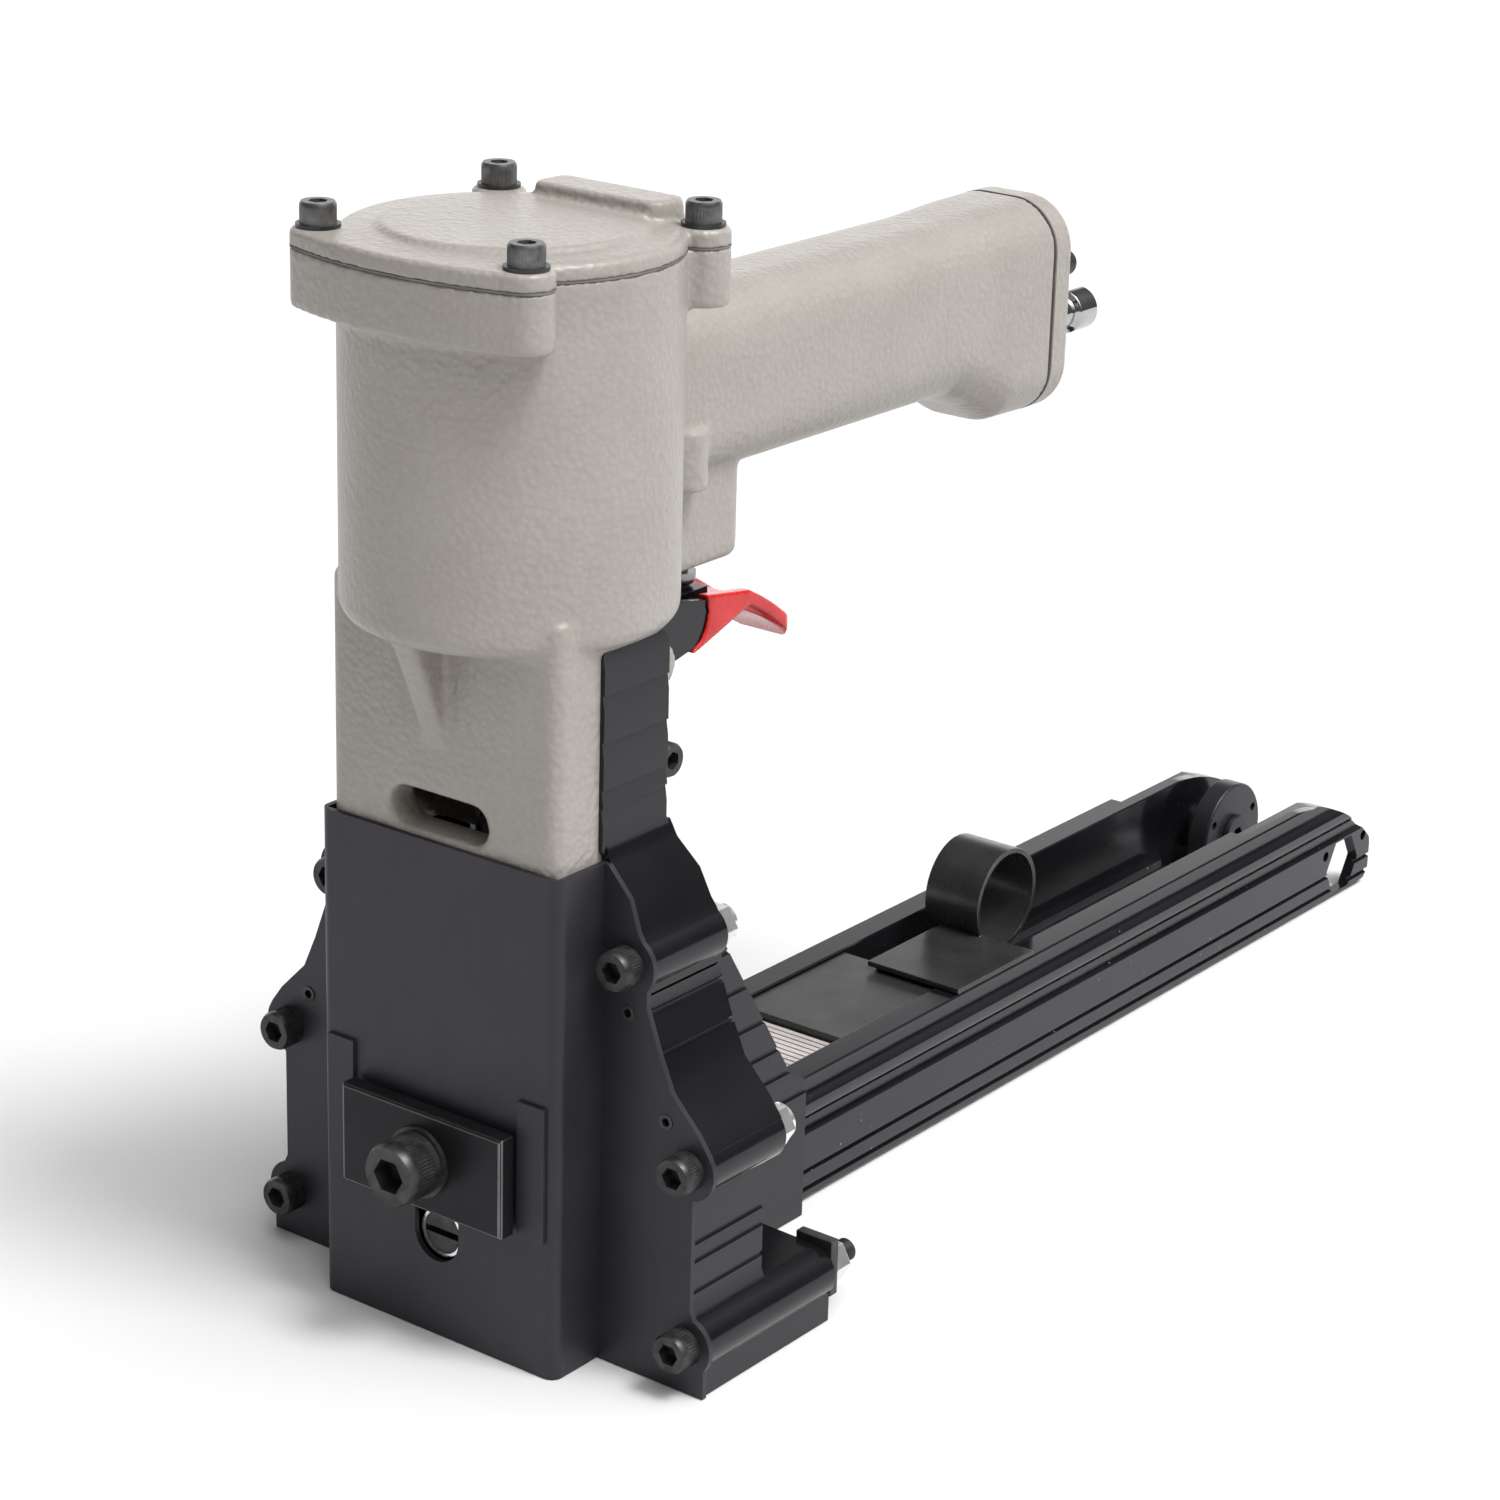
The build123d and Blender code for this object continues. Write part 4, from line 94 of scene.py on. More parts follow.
class Finish:
    """A material with its node tree, and short calls for the nodes that this lesson uses."""

    def __init__(self, name, colour, roughness, metallic=0.0):
        self.material = bpy.data.materials.new(name)
        self.material.use_nodes = True
        self.tree = self.material.node_tree
        self.shader = self.tree.nodes["Principled BSDF"]
        self.shader.inputs["Base Color"].default_value = (*colour, 1.0)
        self.shader.inputs["Roughness"].default_value = roughness
        self.shader.inputs["Metallic"].default_value = metallic

    def node(self, kind, **settings):
        made = self.tree.nodes.new(kind)
        for key, value in settings.items():
            setattr(made, key, value)
        return made

    def link(self, output, node, socket):
        self.tree.links.new(output, node.inputs[socket])

    def place(self, stretch=(1.0, 1.0, 1.0), turn=(0.0, 0.0, 0.0)):
        """Object coordinates, stretched or turned."""
        coordinates = self.node("ShaderNodeTexCoord")
        mapping = self.node("ShaderNodeMapping")
        mapping.inputs["Scale"].default_value = stretch
        mapping.inputs["Rotation"].default_value = turn
        self.link(coordinates.outputs["Object"], mapping, "Vector")
        return mapping.outputs["Vector"]

    def noise(self, place, size, detail=2.0, rough=0.5):
        """Soft random spots of about this size in metres."""
        made = self.node("ShaderNodeTexNoise")
        made.inputs["Scale"].default_value = NOISE_FEATURE / size
        made.inputs["Detail"].default_value = detail
        made.inputs["Roughness"].default_value = rough
        self.link(place, made, "Vector")
        return made.outputs["Fac"]

    def cells(self, place, size, smooth=0.6):
        """Rounded cells of about this size in metres, for beaded paint."""
        made = self.node("ShaderNodeTexVoronoi", feature="SMOOTH_F1")
        made.inputs["Scale"].default_value = NOISE_FEATURE / size
        made.inputs["Smoothness"].default_value = smooth
        self.link(place, made, "Vector")
        return made.outputs["Distance"]

    def ramp(self, value, stops):
        """Colours along a value: stops are (position, colour) pairs."""
        made = self.node("ShaderNodeValToRGB")
        line = made.color_ramp
        while len(line.elements) < len(stops):
            line.elements.new(0.5)
        for element, (position, colour) in zip(line.elements, stops):
            element.position = position
            element.color = (*colour, 1.0)
        self.link(value, made, "Fac")
        return made.outputs["Color"]

    def span(self, value, low, high):
        """A value from 0 to 1, moved to run from low to high."""
        made = self.node("ShaderNodeMapRange")
        made.inputs["To Min"].default_value = low
        made.inputs["To Max"].default_value = high
        self.link(value, made, "Value")
        return made.outputs["Result"]

    def mix(self, share, first, second):
        """A plain colour laid over a graph's colour, by a share from 0 to 1."""
        made = self.node("ShaderNodeMix", data_type="RGBA")
        self.link(share, made, "Factor")
        self.tree.links.new(first, made.inputs[6])
        made.inputs[7].default_value = (*second, 1.0)
        return made.outputs[2]

    def bump(self, height, depth, strength=1.0, under=None):
        """Relief of this depth in metres; relief can lie on other relief."""
        made = self.node("ShaderNodeBump")
        made.inputs["Strength"].default_value = strength
        made.inputs["Distance"].default_value = depth
        self.link(height, made, "Height")
        if under is not None:
            self.link(under, made, "Normal")
        return made.outputs["Normal"]

    def wear(self, colour=None, roughness=None, normal=None):
        """Joins the graph's results to the shader."""
        if colour is not None:
            self.link(colour, self.shader, "Base Color")
        if roughness is not None:
            self.link(roughness, self.shader, "Roughness")
        if normal is not None:
            self.link(normal, self.shader, "Normal")
        return self.material


def grey(value, warmth=0.0):
    """A grey, made warmer or cooler by a small amount."""
    return (value * (1 + warmth), value, value * (1 - warmth))


# %% [markdown]
# ## The cast housing's paint
# The real housing is sand cast and painted in a warm light grey that dries in fine beads. Three layers make
# that: rounded cells under two millimetres across for the beads, a finer grain on them, and wide soft spots
# where the paint is thicker. The beads are relief more than colour, so they catch the light from any side.

# %% Housing paint
def housing_paint():
    finish = Finish("housing paint", grey(0.33, 0.085), 0.36)
    place = finish.place()
    beads = finish.cells(place, 1.7 * MM)
    grain = finish.noise(place, 0.8 * MM, detail=3.0)
    clouds = finish.noise(place, 22 * MM, detail=3.0)
    colour = finish.ramp(clouds, [(0.3, grey(0.318, 0.09)), (0.7, grey(0.344, 0.08))])
    speckle = finish.ramp(beads, [(0.1, grey(1.0)), (0.75, grey(0.93))])
    toned = finish.node("ShaderNodeMix", data_type="RGBA", blend_type="MULTIPLY")
    toned.inputs["Factor"].default_value = 1.0
    finish.tree.links.new(colour, toned.inputs[6])
    finish.tree.links.new(speckle, toned.inputs[7])
    relief = finish.bump(beads, 0.3 * MM, 0.8)
    relief = finish.bump(grain, 0.07 * MM, 0.5, under=relief)
    return finish.wear(toned.outputs[2], finish.span(grain, 0.28, 0.44), relief)


CAST_GREY = housing_paint()
print("made", CAST_GREY.name)

# %% [markdown]
# ## Black finishes
# Several blacks meet on this tool. The cover is painted sheet, satin and slightly streaked. The frames and
# rails are anodised, darker and glossier, with drawing lines along the rails, and the drum and the depth
# block are duller. The screws are black oxide, a thin oily film on steel; the lid's screws, which face up,
# get a lighter copy of it, a painted reflection of the bright sky above them.
# The blacks differ in how they reflect far more than in colour.

# %% Cover paint, anodised metal and black oxide
BLACK_GLOSS = 0.42  # a black film reflects a little less than bare plastic or glass
VIOLET = (0.93, 0.89, 1.0, 1.0)  # and dyed black mirrors the room a little violet


def black_film(name, shade, roughness, gloss=BLACK_GLOSS):
    """The start of a black finish, before its marks."""
    finish = Finish(name, grey(shade), roughness)
    finish.shader.inputs["Specular IOR Level"].default_value = gloss
    finish.shader.inputs["Specular Tint"].default_value = VIOLET
    return finish


def cover_paint():
    finish = black_film("satin cover paint", 0.02, 0.4)
    place = finish.place()
    streaks = finish.noise(finish.place((1.0, 1.0, 0.08)), 1.6 * MM, detail=3.0)
    grain = finish.noise(place, 0.45 * MM, detail=2.0)
    clouds = finish.noise(place, 26 * MM, detail=4.0)
    colour = finish.ramp(clouds, [(0.32, (0.017, 0.016, 0.0195)), (0.72, (0.024, 0.0225, 0.027))])
    relief = finish.bump(grain, 0.035 * MM, 0.5)
    relief = finish.bump(streaks, 0.02 * MM, 0.35, under=relief)
    return finish.wear(colour, finish.span(streaks, 0.36, 0.5), relief)


def anodised(name, drawn_along, shade, low, high, gloss=BLACK_GLOSS):
    finish = black_film(name, shade, low, gloss)
    lines = finish.noise(finish.place(drawn_along), 0.9 * MM, detail=3.0)
    clouds = finish.noise(finish.place(), 18 * MM, detail=3.0)
    dark = (shade * 0.8, shade * 0.78, shade * 0.88)
    light = (shade * 1.35, shade * 1.28, shade * 1.45)
    colour = finish.ramp(clouds, [(0.3, dark), (0.75, light)])
    relief = finish.bump(lines, 0.02 * MM, 0.4)
    return finish.wear(colour, finish.span(lines, low, high), relief)


def dusty_rail():
    """Anodised rail with drawing lines along its length and a few pale specks of dust."""
    finish = black_film("drawn rail", 0.006, 0.16, 0.5)
    lines = finish.noise(finish.place((1.0, 0.02, 1.0)), 0.8 * MM, detail=3.0)
    clouds = finish.noise(finish.place((1.0, 0.3, 1.0)), 16 * MM, detail=3.0)
    metal = finish.ramp(clouds, [(0.3, (0.004, 0.0038, 0.0046)), (0.75, (0.009, 0.0084, 0.010))])
    dust = finish.noise(finish.place(), 1.1 * MM, detail=0.0)
    specks = finish.ramp(dust, [(0.86, grey(0.0)), (0.90, grey(1.0))])
    colour = finish.mix(specks, metal, grey(0.22))
    relief = finish.bump(lines, 0.02 * MM, 0.4)
    return finish.wear(colour, finish.span(lines, 0.1, 0.2), relief)


def black_oxide(name, shade):
    finish = Finish(name, grey(shade), 0.36, 0.6)
    finish.shader.inputs["Specular IOR Level"].default_value = BLACK_GLOSS
    place = finish.place()
    blotches = finish.noise(place, 3.0 * MM, detail=4.0)
    grain = finish.noise(place, 0.3 * MM, detail=2.0)
    colour = finish.ramp(blotches, [(0.3, grey(0.7 * shade)), (0.75, grey(1.8 * shade))])
    relief = finish.bump(grain, 0.02 * MM, 0.5)
    return finish.wear(colour, finish.span(blotches, 0.3, 0.46), relief)


COVER_BLACK = cover_paint()
FRAME_BLACK = anodised("black anodised frame", (1.0, 0.06, 1.0), 0.0055, 0.12, 0.22)
RAIL_BLACK = dusty_rail()
DRUM_BLACK = anodised("turned black drum", (0.1, 1.0, 1.0), 0.014, 0.3, 0.44)
BLOCK_BLACK = anodised("dull black block", (0.1, 1.0, 1.0), 0.009, 0.3, 0.44, 0.2)
SCREW_BLACK = black_oxide("black oxide", 0.042)
# a lighter copy for the lid's screws: its paler grey is a painted reflection of the sky their tops face
SCREW_PAINTED_SKY = black_oxide("black oxide with painted sky reflection", 0.11)
print("made seven black finishes")

# %% [markdown]
# ## Bright and bare metals
# The dome nuts and the air plug are plated, so they are nearly mirrors. The staples are drawn wire under a
# film of glue, which dulls them. Inside the tool are ground steel, turned brass and a honed liner: they show
# only from below or when the tool is opened, but each still gets the marks of how it was made.

# %% Metals
def metal(name, colour, low, high, along=(1.0, 1.0, 1.0), line=0.5 * MM, depth=0.012 * MM, bare=1.0):
    """A metal with tool marks along the axis with the small stretch; a coat leaves it less bare."""
    finish = Finish(name, colour, low, bare)
    marks = finish.noise(finish.place(along), line, detail=3.0)
    clouds = finish.noise(finish.place(), 9 * MM, detail=3.0)
    dark = tuple(0.82 * value for value in colour)
    light = tuple(min(1.0, 1.1 * value) for value in colour)
    tone = finish.ramp(clouds, [(0.3, dark), (0.75, light)])
    return finish.wear(tone, finish.span(marks, low, high), finish.bump(marks, depth, 0.35))


PLATED = metal("plated nut", (0.9, 0.9, 0.91), 0.1, 0.24, bare=0.88)
CHROME = metal("chromed plug", (0.5, 0.5, 0.51), 0.03, 0.08, depth=0.004 * MM)
STAPLE_WIRE = metal("glued staple wire", (0.68, 0.63, 0.61), 0.24, 0.38, (0.05, 1.0, 0.3), bare=0.3)
TOOL_STEEL = metal("ground tool steel", (0.36, 0.36, 0.37), 0.26, 0.42, (1.0, 1.0, 0.05))
SPRING_STEEL = metal("blue spring steel", (0.25, 0.26, 0.30), 0.24, 0.38, (1.0, 0.05, 1.0))
LINER_METAL = metal("honed liner", (0.55, 0.55, 0.56), 0.22, 0.36, (1.0, 1.0, 0.1))
PISTON_METAL = metal("turned piston", (0.62, 0.62, 0.63), 0.2, 0.34, (1.0, 1.0, 0.1))
BRASS = metal("turned brass bush", (0.66, 0.49, 0.21), 0.22, 0.36, (1.0, 1.0, 0.1))
WORN_EDGE = metal("worn edge", (0.16, 0.16, 0.165), 0.26, 0.42)
print("made nine metals")

# %% [markdown]
# ## The pusher's sheet, the red dip and the matt pieces
# The pusher is blackened sheet steel, rubbed to a dull shine. The trigger's tab was dipped in a liquid
# plastic, which leaves a thick glossy coat with soft runs in it: a clear coat on top of a deep red gives
# the double highlight. Gaskets, seals, the bumper and the moulded head valve are matt, with a fine grain.

# %% Sheet, dip and matt pieces
def blackened_sheet():
    finish = Finish("blackened sheet", grey(0.045), 0.3, 0.5)
    finish.shader.inputs["Specular IOR Level"].default_value = BLACK_GLOSS
    rubbed = finish.noise(finish.place((1.0, 0.12, 1.0)), 1.4 * MM, detail=4.0)
    clouds = finish.noise(finish.place(), 14 * MM, detail=4.0)
    colour = finish.ramp(clouds, [(0.3, (0.036, 0.035, 0.036)), (0.75, (0.068, 0.066, 0.067))])
    return finish.wear(colour, finish.span(rubbed, 0.22, 0.36), finish.bump(rubbed, 0.015 * MM, 0.4))


def red_dip():
    finish = Finish("red dipped coat", (0.56, 0.012, 0.014), 0.3)
    finish.shader.inputs["Specular IOR Level"].default_value = 0.3
    finish.shader.inputs["Coat Weight"].default_value = 0.35
    finish.shader.inputs["Coat Roughness"].default_value = 0.08
    place = finish.place()
    runs = finish.noise(place, 6 * MM, detail=2.0)
    pores = finish.noise(place, 0.8 * MM, detail=2.0)
    colour = finish.ramp(runs, [(0.3, (0.44, 0.008, 0.010)), (0.75, (0.64, 0.022, 0.022))])
    relief = finish.bump(runs, 0.25 * MM, 0.35)
    relief = finish.bump(pores, 0.02 * MM, 0.3, under=relief)
    return finish.wear(colour, finish.span(pores, 0.22, 0.36), relief)


def matt(name, shade, warmth=0.0):
    finish = Finish(name, grey(shade, warmth), 0.7)
    grain = finish.noise(finish.place(), 0.4 * MM, detail=3.0)
    clouds = finish.noise(finish.place(), 7 * MM, detail=3.0)
    colour = finish.ramp(clouds, [(0.3, grey(shade * 0.8, warmth)), (0.75, grey(shade * 1.25, warmth))])
    return finish.wear(colour, finish.span(grain, 0.6, 0.82), finish.bump(grain, 0.02 * MM, 0.5))


PUSHER_SHEET = blackened_sheet()
RED_DIP = red_dip()
PAPER = matt("paper gasket", 0.15, 0.05)
SEAL = matt("round seal", 0.015)
BUMPER = matt("bumper rubber", 0.05, 0.25)
VALVE_PLASTIC = matt("moulded head valve", 0.5, 0.06)
print("made the sheet, the dip and four matt finishes")

# %% [markdown]
# ## A finish on every piece
# The record names a slot for each CAD piece, so one table from slot to finish dresses them all at once. A
# second table holds the few pieces that look unlike the rest of their slot. Pieces that get a better mesh
# later take their finish from the same two tables.

# %% Dress every CAD piece
FINISH_OF_SLOT = {
    "casting_paint": CAST_GREY,
    "gasket": PAPER,
    "black_screw": SCREW_BLACK,
    "bright_nut": PLATED,
    "air_fitting": CHROME,
    "liner": LINER_METAL,
    "seal": SEAL,
    "bush": BRASS,
    "bumper": BUMPER,
    "piston": PISTON_METAL,
    "tool_steel": TOOL_STEEL,
    "head_valve": VALVE_PLASTIC,
    "spring_steel": SPRING_STEEL,
    "trigger_steel": FRAME_BLACK,
    "trigger_dip": RED_DIP,
    "cover_paint": COVER_BLACK,
    "frame_anodised": FRAME_BLACK,
    "rail_anodised": RAIL_BLACK,
    "staple_wire": STAPLE_WIRE,
    "pusher_sheet": PUSHER_SHEET,
    "drum": DRUM_BLACK,
}
# the lid's screws take the lighter black oxide, a painted reflection of the sky above them
FINISH_OF_NODE = {"cap_screws": SCREW_PAINTED_SKY, "depth_adjuster": BLOCK_BLACK, "drum_axle": DRUM_BLACK}
slot_of_node = {entry["node"]: entry["material_slot"] for entry in frame["record"]["subparts"]}
body_of_node = {
    node: body for body, nodes in frame["record"]["behaviour"]["bodies"].items() for node in nodes
}


def finish_of(node):
    return FINISH_OF_NODE.get(node) or FINISH_OF_SLOT[slot_of_node[node]]


for node, piece in frame["nodes"].items():
    for place in piece.material_slots:
        place.material = finish_of(node)
print("dressed", len(frame["nodes"]), "pieces by", len(FINISH_OF_SLOT), "slots")

# %% [markdown]
# ## From CAD triangles to a workable mesh
# A CAD piece arrives as loose triangles. To work on one, copy it, merge the points that lie on each other
# and let flat neighbours join into larger faces. A small bevel on the sharp edges then catches a line of
# light, which is what tells the eye that a black edge is metal. Smooth shading would bend the light far
# into the flat faces beside a bevel, so weighted normals let the large faces decide. The CAD piece itself
# is left untouched.

# %% Helpers for meshes
MERGE = 0.002 * MM
SMOOTH_ANGLE = radians(32)
LEVEL_WEIGHT = 100  # the largest faces alone decide the shading's direction


def add_object(name, mesh):
    made = bpy.data.objects.new(name, mesh)
    scene.collection.objects.link(made)
    return made


def merged_copy(node, name, flat_angle=radians(0.4)):
    """A welded copy of a CAD piece, with its flat triangles joined."""
    mesh = bpy.data.meshes.new(name)
    work = bmesh.new()
    work.from_mesh(frame["nodes"][node].data)
    bmesh.ops.remove_doubles(work, verts=work.verts, dist=MERGE)
    if flat_angle > 0:
        bmesh.ops.dissolve_limit(work, angle_limit=flat_angle, verts=work.verts, edges=work.edges)
    for face in work.faces:
        face.material_index = 0
    work.to_mesh(mesh)
    work.free()
    return add_object(name, mesh)


def bake(piece):
    """Turns a piece with modifiers into a plain mesh."""
    graph = bpy.context.evaluated_depsgraph_get()
    mesh = bpy.data.meshes.new_from_object(piece.evaluated_get(graph))
    piece.modifiers.clear()
    piece.data = mesh
    return piece


def smooth_faces(piece, angle=SMOOTH_ANGLE):
    piece.data.polygons.foreach_set("use_smooth", [True] * len(piece.data.polygons))
    piece.data.set_sharp_from_angle(angle=angle)


def stand_for(piece, *nodes):
    """The piece takes the place, body, slot and finish of these CAD pieces."""
    if not piece.data.materials:
        piece.data.materials.append(finish_of(nodes[0]))
    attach(piece, body_of_node[nodes[0]])
    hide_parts(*nodes)
    piece.data.calc_loop_triangles()
    print(piece.name, "has", len(piece.data.loop_triangles), "triangles")
    return piece


def eased(node, width, segments=2, edge_finish=None):
    """A CAD piece with its sharp edges eased by a bevel; the bevel can have a finish of its own."""
    piece = merged_copy(node, node + "_eased")
    piece.data.materials.clear()
    piece.data.materials.append(finish_of(node))
    bevel = piece.modifiers.new("ease", "BEVEL")
    bevel.width = width
    bevel.segments = segments
    bevel.limit_method = "ANGLE"
    bevel.angle_limit = SMOOTH_ANGLE
    bevel.use_clamp_overlap = True
    if edge_finish is not None:
        piece.data.materials.append(edge_finish)
        bevel.material = 1
    bake(piece)
    smooth_faces(piece)
    level = piece.modifiers.new("level", "WEIGHTED_NORMAL")
    level.weight = LEVEL_WEIGHT
    level.keep_sharp = True
    bake(piece)
    return stand_for(piece, node)


def islands(node):
    """The boxes of a CAD piece's separate solids, as (low, high) corners."""
    work = bmesh.new()
    work.from_mesh(frame["nodes"][node].data)
    bmesh.ops.remove_doubles(work, verts=work.verts, dist=MERGE)
    left = set(work.verts)
    boxes = []
    while left:
        group = []
        edge_of_group = [left.pop()]
        while edge_of_group:
            point = edge_of_group.pop()
            group.append(point.co.copy())
            for edge in point.link_edges:
                other = edge.other_vert(point)
                if other in left:
                    left.remove(other)
                    edge_of_group.append(other)
        low = Vector([min(p[axis] for p in group) for axis in range(3)])
        high = Vector([max(p[axis] for p in group) for axis in range(3)])
        boxes.append((low, high))
    work.free()
    return boxes


print("frame_screws has", len(islands("frame_screws")), "screws")

# %% [markdown]
# ## The casting
# A sand casting has no sharp inner corners: wherever a rib or a handle grows out of a wall, the metal
# flows round the corner. A voxel remesh turns the CAD solid into an even skin, and smoothing that skin
# only where the casting is rough, and not on machined faces or in bores, gives those soft corners. An even
# skin spends as many faces on a flat wall as on a corner, so a large one is collapsed where it is flat.

# %% Casting and cap
CAST_VOXEL = 0.95 * MM
CAP_VOXEL = 0.62 * MM
SHARE_STEPS = 4  # shares are set in this many steps, as a vertex group takes one weight at a time
SKIN_LIMIT = 190000  # a skin with more triangles than this is thinned to it


def thin_out(piece):
    """Collapses the flattest stretches of a skin that has too many triangles."""
    piece.data.calc_loop_triangles()
    count = len(piece.data.loop_triangles)
    if count > SKIN_LIMIT:
        collapse = piece.modifiers.new("thin", "DECIMATE")
        collapse.ratio = SKIN_LIMIT / count
        bake(piece)


def soften(piece, voxel, rough_share, rounds):
    """Remeshes a piece, then smooths each point by its share: 1 is rough casting, 0 is machined."""
    remesh = piece.modifiers.new("skin", "REMESH")
    remesh.mode = "VOXEL"
    remesh.voxel_size = voxel
    bake(piece)
    count = len(piece.data.vertices)
    places = np.zeros(count * 3, np.float32)
    piece.data.vertices.foreach_get("co", places)
    shares = rough_share(places.reshape(-1, 3))
    group = piece.vertex_groups.new(name="rough")
    for level in range(1, SHARE_STEPS + 1):
        chosen = np.nonzero(np.round(shares * SHARE_STEPS) == level)[0]
        group.add([int(i) for i in chosen], level / SHARE_STEPS, "REPLACE")
    smooth = piece.modifiers.new("flow", "SMOOTH")
    smooth.factor = 0.5
    smooth.iterations = rounds
    smooth.vertex_group = "rough"
    bake(piece)
    piece.vertex_groups.clear()
    thin_out(piece)
    piece.data.polygons.foreach_set("use_smooth", [True] * len(piece.data.polygons))


def fade(distance, start, full):
    """0 up to start, 1 from full on, and a straight line between."""
    return np.clip((distance - start) / (full - start), 0, 1)


casting_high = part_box("body_casting")[1]
liner_low, liner_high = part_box("cylinder_liner")
cover_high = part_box("front_cover")[1]
bush_low, bush_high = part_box("trigger_valve_bush")


def casting_share(points):
    x, y, z = points.T
    share = fade(casting_high.z - z, 1.0 * MM, 3.0 * MM)
    share = share * fade(casting_high.y - y, 1.0 * MM, 3.0 * MM)
    share = share * fade(z - cover_high.z, -2.0 * MM, 1.0 * MM)
    from_bore = np.hypot(x, y) - liner_high.x
    share = np.where(z > liner_low.z - 2 * MM, share * fade(from_bore, 0.6 * MM, 1.6 * MM), share)
    valve_y = (bush_low.y + bush_high.y) / 2
    from_valve = np.hypot(x, y - valve_y) - bush_high.x
    share = np.where(z < bush_high.z + 2 * MM, share * fade(from_valve, 0.5 * MM, 2.0 * MM), share)
    return share


casting = merged_copy("body_casting", "casting", flat_angle=0)
soften(casting, CAST_VOXEL, casting_share, 5)
stand_for(casting, "body_casting")

cap_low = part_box("cylinder_cap")[0]


def cap_share(points):
    return fade(points[:, 2] - cap_low.z, 0.4 * MM, 1.4 * MM)


cap = merged_copy("cylinder_cap", "cap", flat_angle=0)
soften(cap, CAP_VOXEL, cap_share, 3)
stand_for(cap, "cylinder_cap")

# %% [markdown]
# ## Eased edges
# Pressed, sawn and extruded pieces keep their CAD shape. Each gets the small broken edge that a deburring
# wheel leaves. On the pusher's ring and the depth block the black has rubbed off that edge, so their
# bevels carry a brighter finish of their own, and on the bright collar of the depth stop a darker one.

# %% Pressed and extruded pieces
EASED = {
    "front_cover": 0.35 * MM,
    "right_side_frame": 0.4 * MM,
    "left_side_frame": 0.4 * MM,
    "right_magazine_rail": 0.3 * MM,
    "left_magazine_rail": 0.3 * MM,
    "handle_end_cap": 0.3 * MM,
    "trigger_lever": 0.3 * MM,
    "spring_drum": 0.25 * MM,
    "drum_axle": 0.25 * MM,
    "backing_plates": 0.35 * MM,
    "stud_nuts": 0.4 * MM,
    "acorn_nuts": 0.3 * MM,
    "air_plug": 0.3 * MM,
    "set_screws": 0.2 * MM,
    "depth_stop_screw": 0.25 * MM,
    "pusher_shoe": 0.2 * MM,
    "driver_blade": 0.15 * MM,
    "drive_yoke": 0.3 * MM,
    "front_guide": 0.3 * MM,
    "rear_guide": 0.3 * MM,
}
for node, width in EASED.items():
    eased(node, width)
OTHER_EDGE = {"pusher_plate": 0.22 * MM, "depth_adjuster": 0.3 * MM, "stop_collar": 0.3 * MM}
for node, width in OTHER_EDGE.items():
    eased(node, width, edge_finish=WORN_EDGE)

# %% [markdown]
# ## The dipped trigger tab
# The coat is thicker than a coat of paint and has no edges at all. The same remesh as on the casting,
# finer and smoothed all over, gives its fat rounded outline.

# %% Red tab
DIP_VOXEL = 0.5 * MM


def dip_share(points):
    return np.ones(len(points))


tab = merged_copy("trigger_grip", "red_tab", flat_angle=0)
soften(tab, DIP_VOXEL, dip_share, 6)
stand_for(tab, "trigger_grip")

# %% [markdown]
# ## Socket screws
# Seventeen screws in four sizes share one design: a knurled head with a broken upper edge, a hexagon
# socket and a threaded shank. Geometry Nodes builds one screw from named sizes and sets it on each seat.
# The seats come from the CAD screws themselves, one point for each solid, with an angle to turn it by.

# %% A node tree for knurled screws
SHANK_SIDES = 20
THREAD_ROOT = 0.86  # the thread's inner radius, as a share of the shank's
HEAD_RINGS = 7
KNURL_VALLEY = 0.965  # the knurls' inner radius, as a share of the head's
KNURL_BAND = 0.34  # the knurls reach this far up and down from the middle of their band
KNURL_DROP = 0.03  # which lies this far below the middle of the head; both are shares of its height
BROKEN_EDGE = 0.91  # radius of the head's top, as a share of the head's
BROKEN_FROM = 0.45  # height of the broken edge above the head's middle, as a share of its height
SOCKET_LIFT = 0.48  # how far the socket's cutter is lifted, as a share of the head's height


def add_inputs(tree, inputs):
    tree.interface.new_socket("Geometry", in_out="INPUT", socket_type="NodeSocketGeometry")
    for label, kind, value in inputs:
        socket = tree.interface.new_socket(label, in_out="INPUT", socket_type=kind)
        socket.default_value = value
    tree.interface.new_socket("Geometry", in_out="OUTPUT", socket_type="NodeSocketGeometry")


